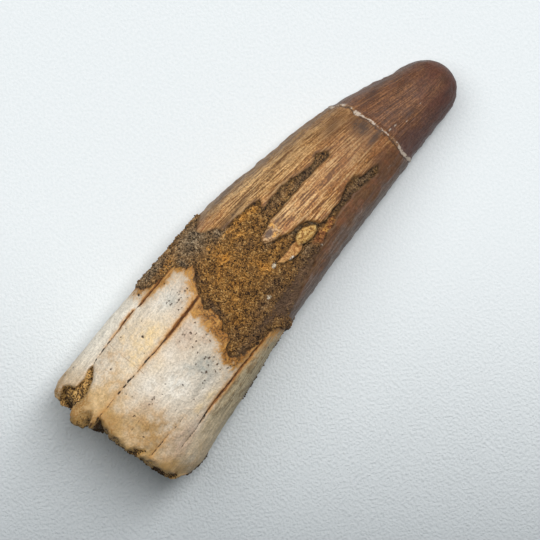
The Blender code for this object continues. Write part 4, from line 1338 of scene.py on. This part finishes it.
def tooth_material():
    """Bone, enamel and crust, with the nodule, the glue and the chalky specks on top."""
    material, tree, sockets = new_material("fossil_tooth", BONE_ROUGHNESS)
    where = place(tree)
    rod_where = unrolled(tree)
    bone_colour, bone_height = bone_finish(tree, where, rod_where)
    bone_colour = splits_over(tree, where, bone_colour)
    enamel_colour, enamel_height = enamel_finish(tree, where, rod_where)
    crust_colour, crust_height = crust_finish(tree, where)
    grit = clouds(tree, where, 0.45, 3, 0.7)
    soft = clouds(tree, where, 1.2, 2)
    fray = ramp(tree, grit, 0.3, 0.7, -0.14, 0.14)
    is_crown = ramp(tree, plus(tree, "past_crust", fray), -0.12, 0.12)
    is_crust = ramp(tree, plus(tree, "into_crust", fray), -0.12, 0.12)
    height = add(tree, "Mix", {0: is_crown, 2: bone_height, 3: enamel_height}, out=0)
    height = add(tree, "Mix", {0: is_crust, 2: height, 3: crust_height}, out=0)

    tail = ramp(tree, plus(tree, "tail", fray), -0.15, 0.15)
    tail_tone = paint_over(tree, ramp(tree, grit, 0.42, 0.56), (158, 106, 56), (210, 160, 98))
    island = ramp(tree, plus(tree, "island", fray), -0.15, 0.15)
    island_tone = paint_over(tree, ramp(tree, grit, 0.42, 0.56), (136, 96, 58), (206, 168, 124))
    stone = ramp(tree, "nodule", -0.12, 0.15)
    stone_tone = coats(tree, (124, 84, 40), (ramp(tree, grit, 0.4, 0.48), (196, 148, 80)),
                       (ramp(tree, grit, 0.52, 0.6), (220, 186, 120)))
    beyond = ramp(tree, add(tree, "SeparateXYZ", {0: where}, out="X"), 4.6, 6.4)
    # painted shadow: a dark crescent beside the nodule, on its side towards the tip
    beside = both(tree, ramp(tree, "nodule", -0.45, -0.15), ramp(tree, "nodule", 0.1, -0.1), beyond)
    gap = plus(tree, "from_break", ramp(tree, soft, 0.35, 0.65, -0.15, 0.15))
    # painted shadow: a dark band in the groove on the root's side of the glued break
    seam_shadow = both(tree, ramp(tree, gap, -0.6, -0.3), ramp(tree, gap, -0.12, -0.26), 0.85)
    lumpy = ramp(tree, clouds(tree, where, 0.8, 3, 0.6), 0.43, 0.52, 0.1, 1)
    glue = both(tree, ramp(tree, "glue", -0.08, 0.08), lumpy)
    chalk = both(tree, ramp(tree, "chalk", 0.3, 0.6), ramp(tree, grit, 0.4, 0.5))
    crumbs = both(tree, ramp(tree, "crumbs", 0.3, 0.6), ramp(tree, grit, 0.42, 0.5))
    colour = coats(tree, bone_colour, (is_crown, enamel_colour), (tail, tail_tone), (island, island_tone),
                   (crumbs, (216, 160, 82)),
                   (ramp(tree, "island_dark", -0.2, 0.15, 0, 0.85), (92, 70, 58)),
                   (is_crust, crust_colour), (beside, (54, 42, 28)), (stone, stone_tone),
                   (seam_shadow, (70, 50, 38)), (glue, (194, 177, 160)), (chalk, (236, 226, 208)))
    rough = add(tree, "Mix", {0: is_crown, 2: BONE_ROUGHNESS, 3: ENAMEL_ROUGHNESS}, out=0)
    rough = add(tree, "Mix", {0: is_crust, 2: rough, 3: SAND_ROUGHNESS}, out=0)
    bump = add(tree, "Bump", {"Height": height, "Distance": MM, "Strength": 1})
    tree.links.new(colour, sockets["Base Color"])
    tree.links.new(rough, sockets["Roughness"])
    tree.links.new(bump, sockets["Normal"])
    sockets["Specular IOR Level"].default_value = 0.3
    return material


tooth.data.materials.append(tooth_material())
print("material with", len(tooth.data.materials[0].node_tree.nodes), "nodes")

# %% [markdown]
# Real sand grains give the crust its bite. One grain is a small twenty-sided ball, and
# thousands of copies are turned, squashed and half buried at random places of the crust. They
# are joined as arrays into a few meshes, because instances don't survive an export. The
# random numbers start from a fixed seed, so the sand is the same on each run.

# %% One grain, and ways to turn it
def one_grain():
    """The points and faces of a ball with twenty sides."""
    bm = bmesh.new()
    bmesh.ops.create_icosphere(bm, subdivisions=1, radius=1.0)
    points = np.array([v.co for v in bm.verts])
    faces = np.array([[v.index for v in f.verts] for f in bm.faces])
    bm.free()
    return points, faces


def random_turns(draw, count):
    """Rotation matrices from random quaternions."""
    q = draw.normal(size=(count, 4))
    w, x, y, z = (q / np.linalg.norm(q, axis=1, keepdims=True)).T
    entries = (1 - 2 * (y * y + z * z), 2 * (x * y - z * w), 2 * (x * z + y * w),
               2 * (x * y + z * w), 1 - 2 * (x * x + z * z), 2 * (y * z - x * w),
               2 * (x * z - y * w), 2 * (y * z + x * w), 1 - 2 * (x * x + y * y))
    return np.stack(entries, axis=1).reshape(-1, 3, 3)


print("a grain has", len(one_grain()[1]), "faces")

# %% [markdown]
# A place for a grain could be picked among the grid's points, but they are crowded where the
# rows are close. So cells are picked by their area times the chance of sand in them, and each
# grain is shifted a little, pushed in or out along the surface, and kept above the table.

# %% A mesh of grains
GRAIN_COUNT = 9800
GRAIN_SIZE = (0.09, 0.21)
GRAIN_SQUASH = (0.75, 1.0)
GRAIN_SHIFT = 0.12
GRAIN_OUT = (-0.65, 0.25)  # how far out of the surface, as a share of its radius
ABOVE_TABLE = 0.02
GRAIN_FIELDS = ("ochre", "umber", "loam", "crumbs", "rust", "past_bone", "crust_edge_shadow", "grime", "chalk")


def cells_of(grid):
    """Each cell's value, as the mean of its four corners."""
    closed = closed_round(grid)
    return (closed[:-1, :-1] + closed[1:, :-1] + closed[:-1, 1:] + closed[1:, 1:]) / 4


def sand(name, chance, seed, material, count=GRAIN_COUNT):
    """Grains where chance, one number for each cell of the grid, is high."""
    draw = np.random.default_rng(seed)
    closed = closed_round(skin_done)
    one, two = closed[1:, 1:] - closed[:-1, :-1], closed[:-1, 1:] - closed[1:, :-1]
    cross = np.cross(one, two) / 2
    area = np.linalg.norm(cross, axis=-1)
    weight = (area * chance).ravel()
    picked = draw.choice(weight.size, size=count, p=weight / weight.sum())
    outward = (cross / np.maximum(area, 1e-9)[..., None]).reshape(-1, 3)[picked]
    normal = cells_of(grid_normals(skin_done)).reshape(-1, 3)[picked]
    outward *= np.sign((outward * normal).sum(axis=1))[:, None]
    spot = cells_of(skin_done).reshape(-1, 3)[picked]
    spot = spot + draw.uniform(-GRAIN_SHIFT, GRAIN_SHIFT, size=(count, 3))
    size = draw.uniform(*GRAIN_SIZE, size=(count, 1)) * draw.uniform(*GRAIN_SQUASH, size=(count, 3))
    radius = size.mean(axis=1)
    spot = spot + outward * (radius * draw.uniform(*GRAIN_OUT, size=count))[:, None]
    spot[:, 2] = np.maximum(spot[:, 2], radius + ABOVE_TABLE)
    points, faces = one_grain()
    turned_points = np.einsum("nij,npj->npi", random_turns(draw, count), points[None] * size[:, None])
    corners = (turned_points + spot[:, None]).reshape(-1, 3) * MM
    joined = (faces[None] + len(points) * np.arange(count)[:, None, None]).reshape(-1, 3)
    mesh = bpy.data.meshes.new(name)
    mesh.from_pydata(corners.tolist(), [], joined.tolist())
    tints = {"tone": draw.random(count)}
    tints.update({field: cells_of(fields[field]).ravel()[picked] for field in GRAIN_FIELDS})
    for key, values in tints.items():
        held = np.repeat(values, len(points)).astype(np.float32)
        mesh.attributes.new(key, "FLOAT", "POINT").data.foreach_set("value", held)
    mesh.materials.append(material)
    print(name, "has", count, "grains and", len(mesh.polygons), "faces")
    return placed(mesh)


print("cells of the grid:", cells_of(row_x).size)

# %% [markdown]
# Each grain has one tone of its own, between dark and pale, and is ochre, umber or rusty where
# the crust below it is. It could have a material of its own for each, but one material with
# the crust's own tones keeps grains and ground alike.

# %% The grains' material
def grain_material():
    """One tone for each grain, tinted as the crust below it is."""
    material, tree, sockets = new_material("sand_grains", SAND_ROUGHNESS)
    where = place(tree)
    tone = plus(tree, both(tree, "tone", 0.95),
                ramp(tree, clouds(tree, where, 1.2, 4, 0.7), 0.35, 0.65, -0.15, 0.25))
    soil = ramp(tree, clouds(tree, where, 0.2, 2), 0.4, 0.65, 1, 0.7)
    tree.links.new(brightened(tree, crust_tone(tree, tone), soil), sockets["Base Color"])
    sockets["Specular IOR Level"].default_value = 0.25
    return material


sandy = grain_material()
print("grain material with", len(sandy.node_tree.nodes), "nodes")

# %% [markdown]
# Sand lies thickest on the crust, some of it in the torn bone, and a little dirt on the rims.
# Along the rear edge a dark film covers the crust instead. The top has two meshes of grains,
# so that none of them grows too heavy.

# %% Where the sand lies
FILM_BARENESS = 0.97
SAND_IN_FACE = 0.2
NO_SAND_BEYOND_X = -30  # in torn places

in_crust = smooth_between(-0.1, 0.3, cells_of(into_crust))
film = smooth_between(0.6, 0.75, -cells_of(np.sin(turned))) * smooth_between(0.5, 3.0, cells_of(past_bone))
in_crust *= 1 - FILM_BARENESS * film
facing_up = smooth_between(-0.15, 0.25, cells_of(np.cos(turned)))
in_torn = smooth_between(-0.1, 0.2, cells_of(torn)) + SAND_IN_FACE * cells_of(in_face)
grain_pieces = [
    sand("sand_on_top", in_crust * facing_up, 11, sandy),
    sand("more_sand_on_top", in_crust * facing_up, 14, sandy),
    sand("sand_underneath", in_crust * (1 - facing_up), 12, sandy, 7000),
    sand("sand_in_broken_bone", in_torn * (cells_of(row_x) < NO_SAND_BEYOND_X), 13, sandy, 2200),
    sand("dirt_on_the_rims", smooth_between(0.5, 1.0, cells_of(fields["grime"])), 15, sandy, 700),
]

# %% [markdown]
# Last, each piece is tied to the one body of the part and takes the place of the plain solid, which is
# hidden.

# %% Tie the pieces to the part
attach(tooth, "root")
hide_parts(NODE)
for piece in grain_pieces:
    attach(piece, "root")
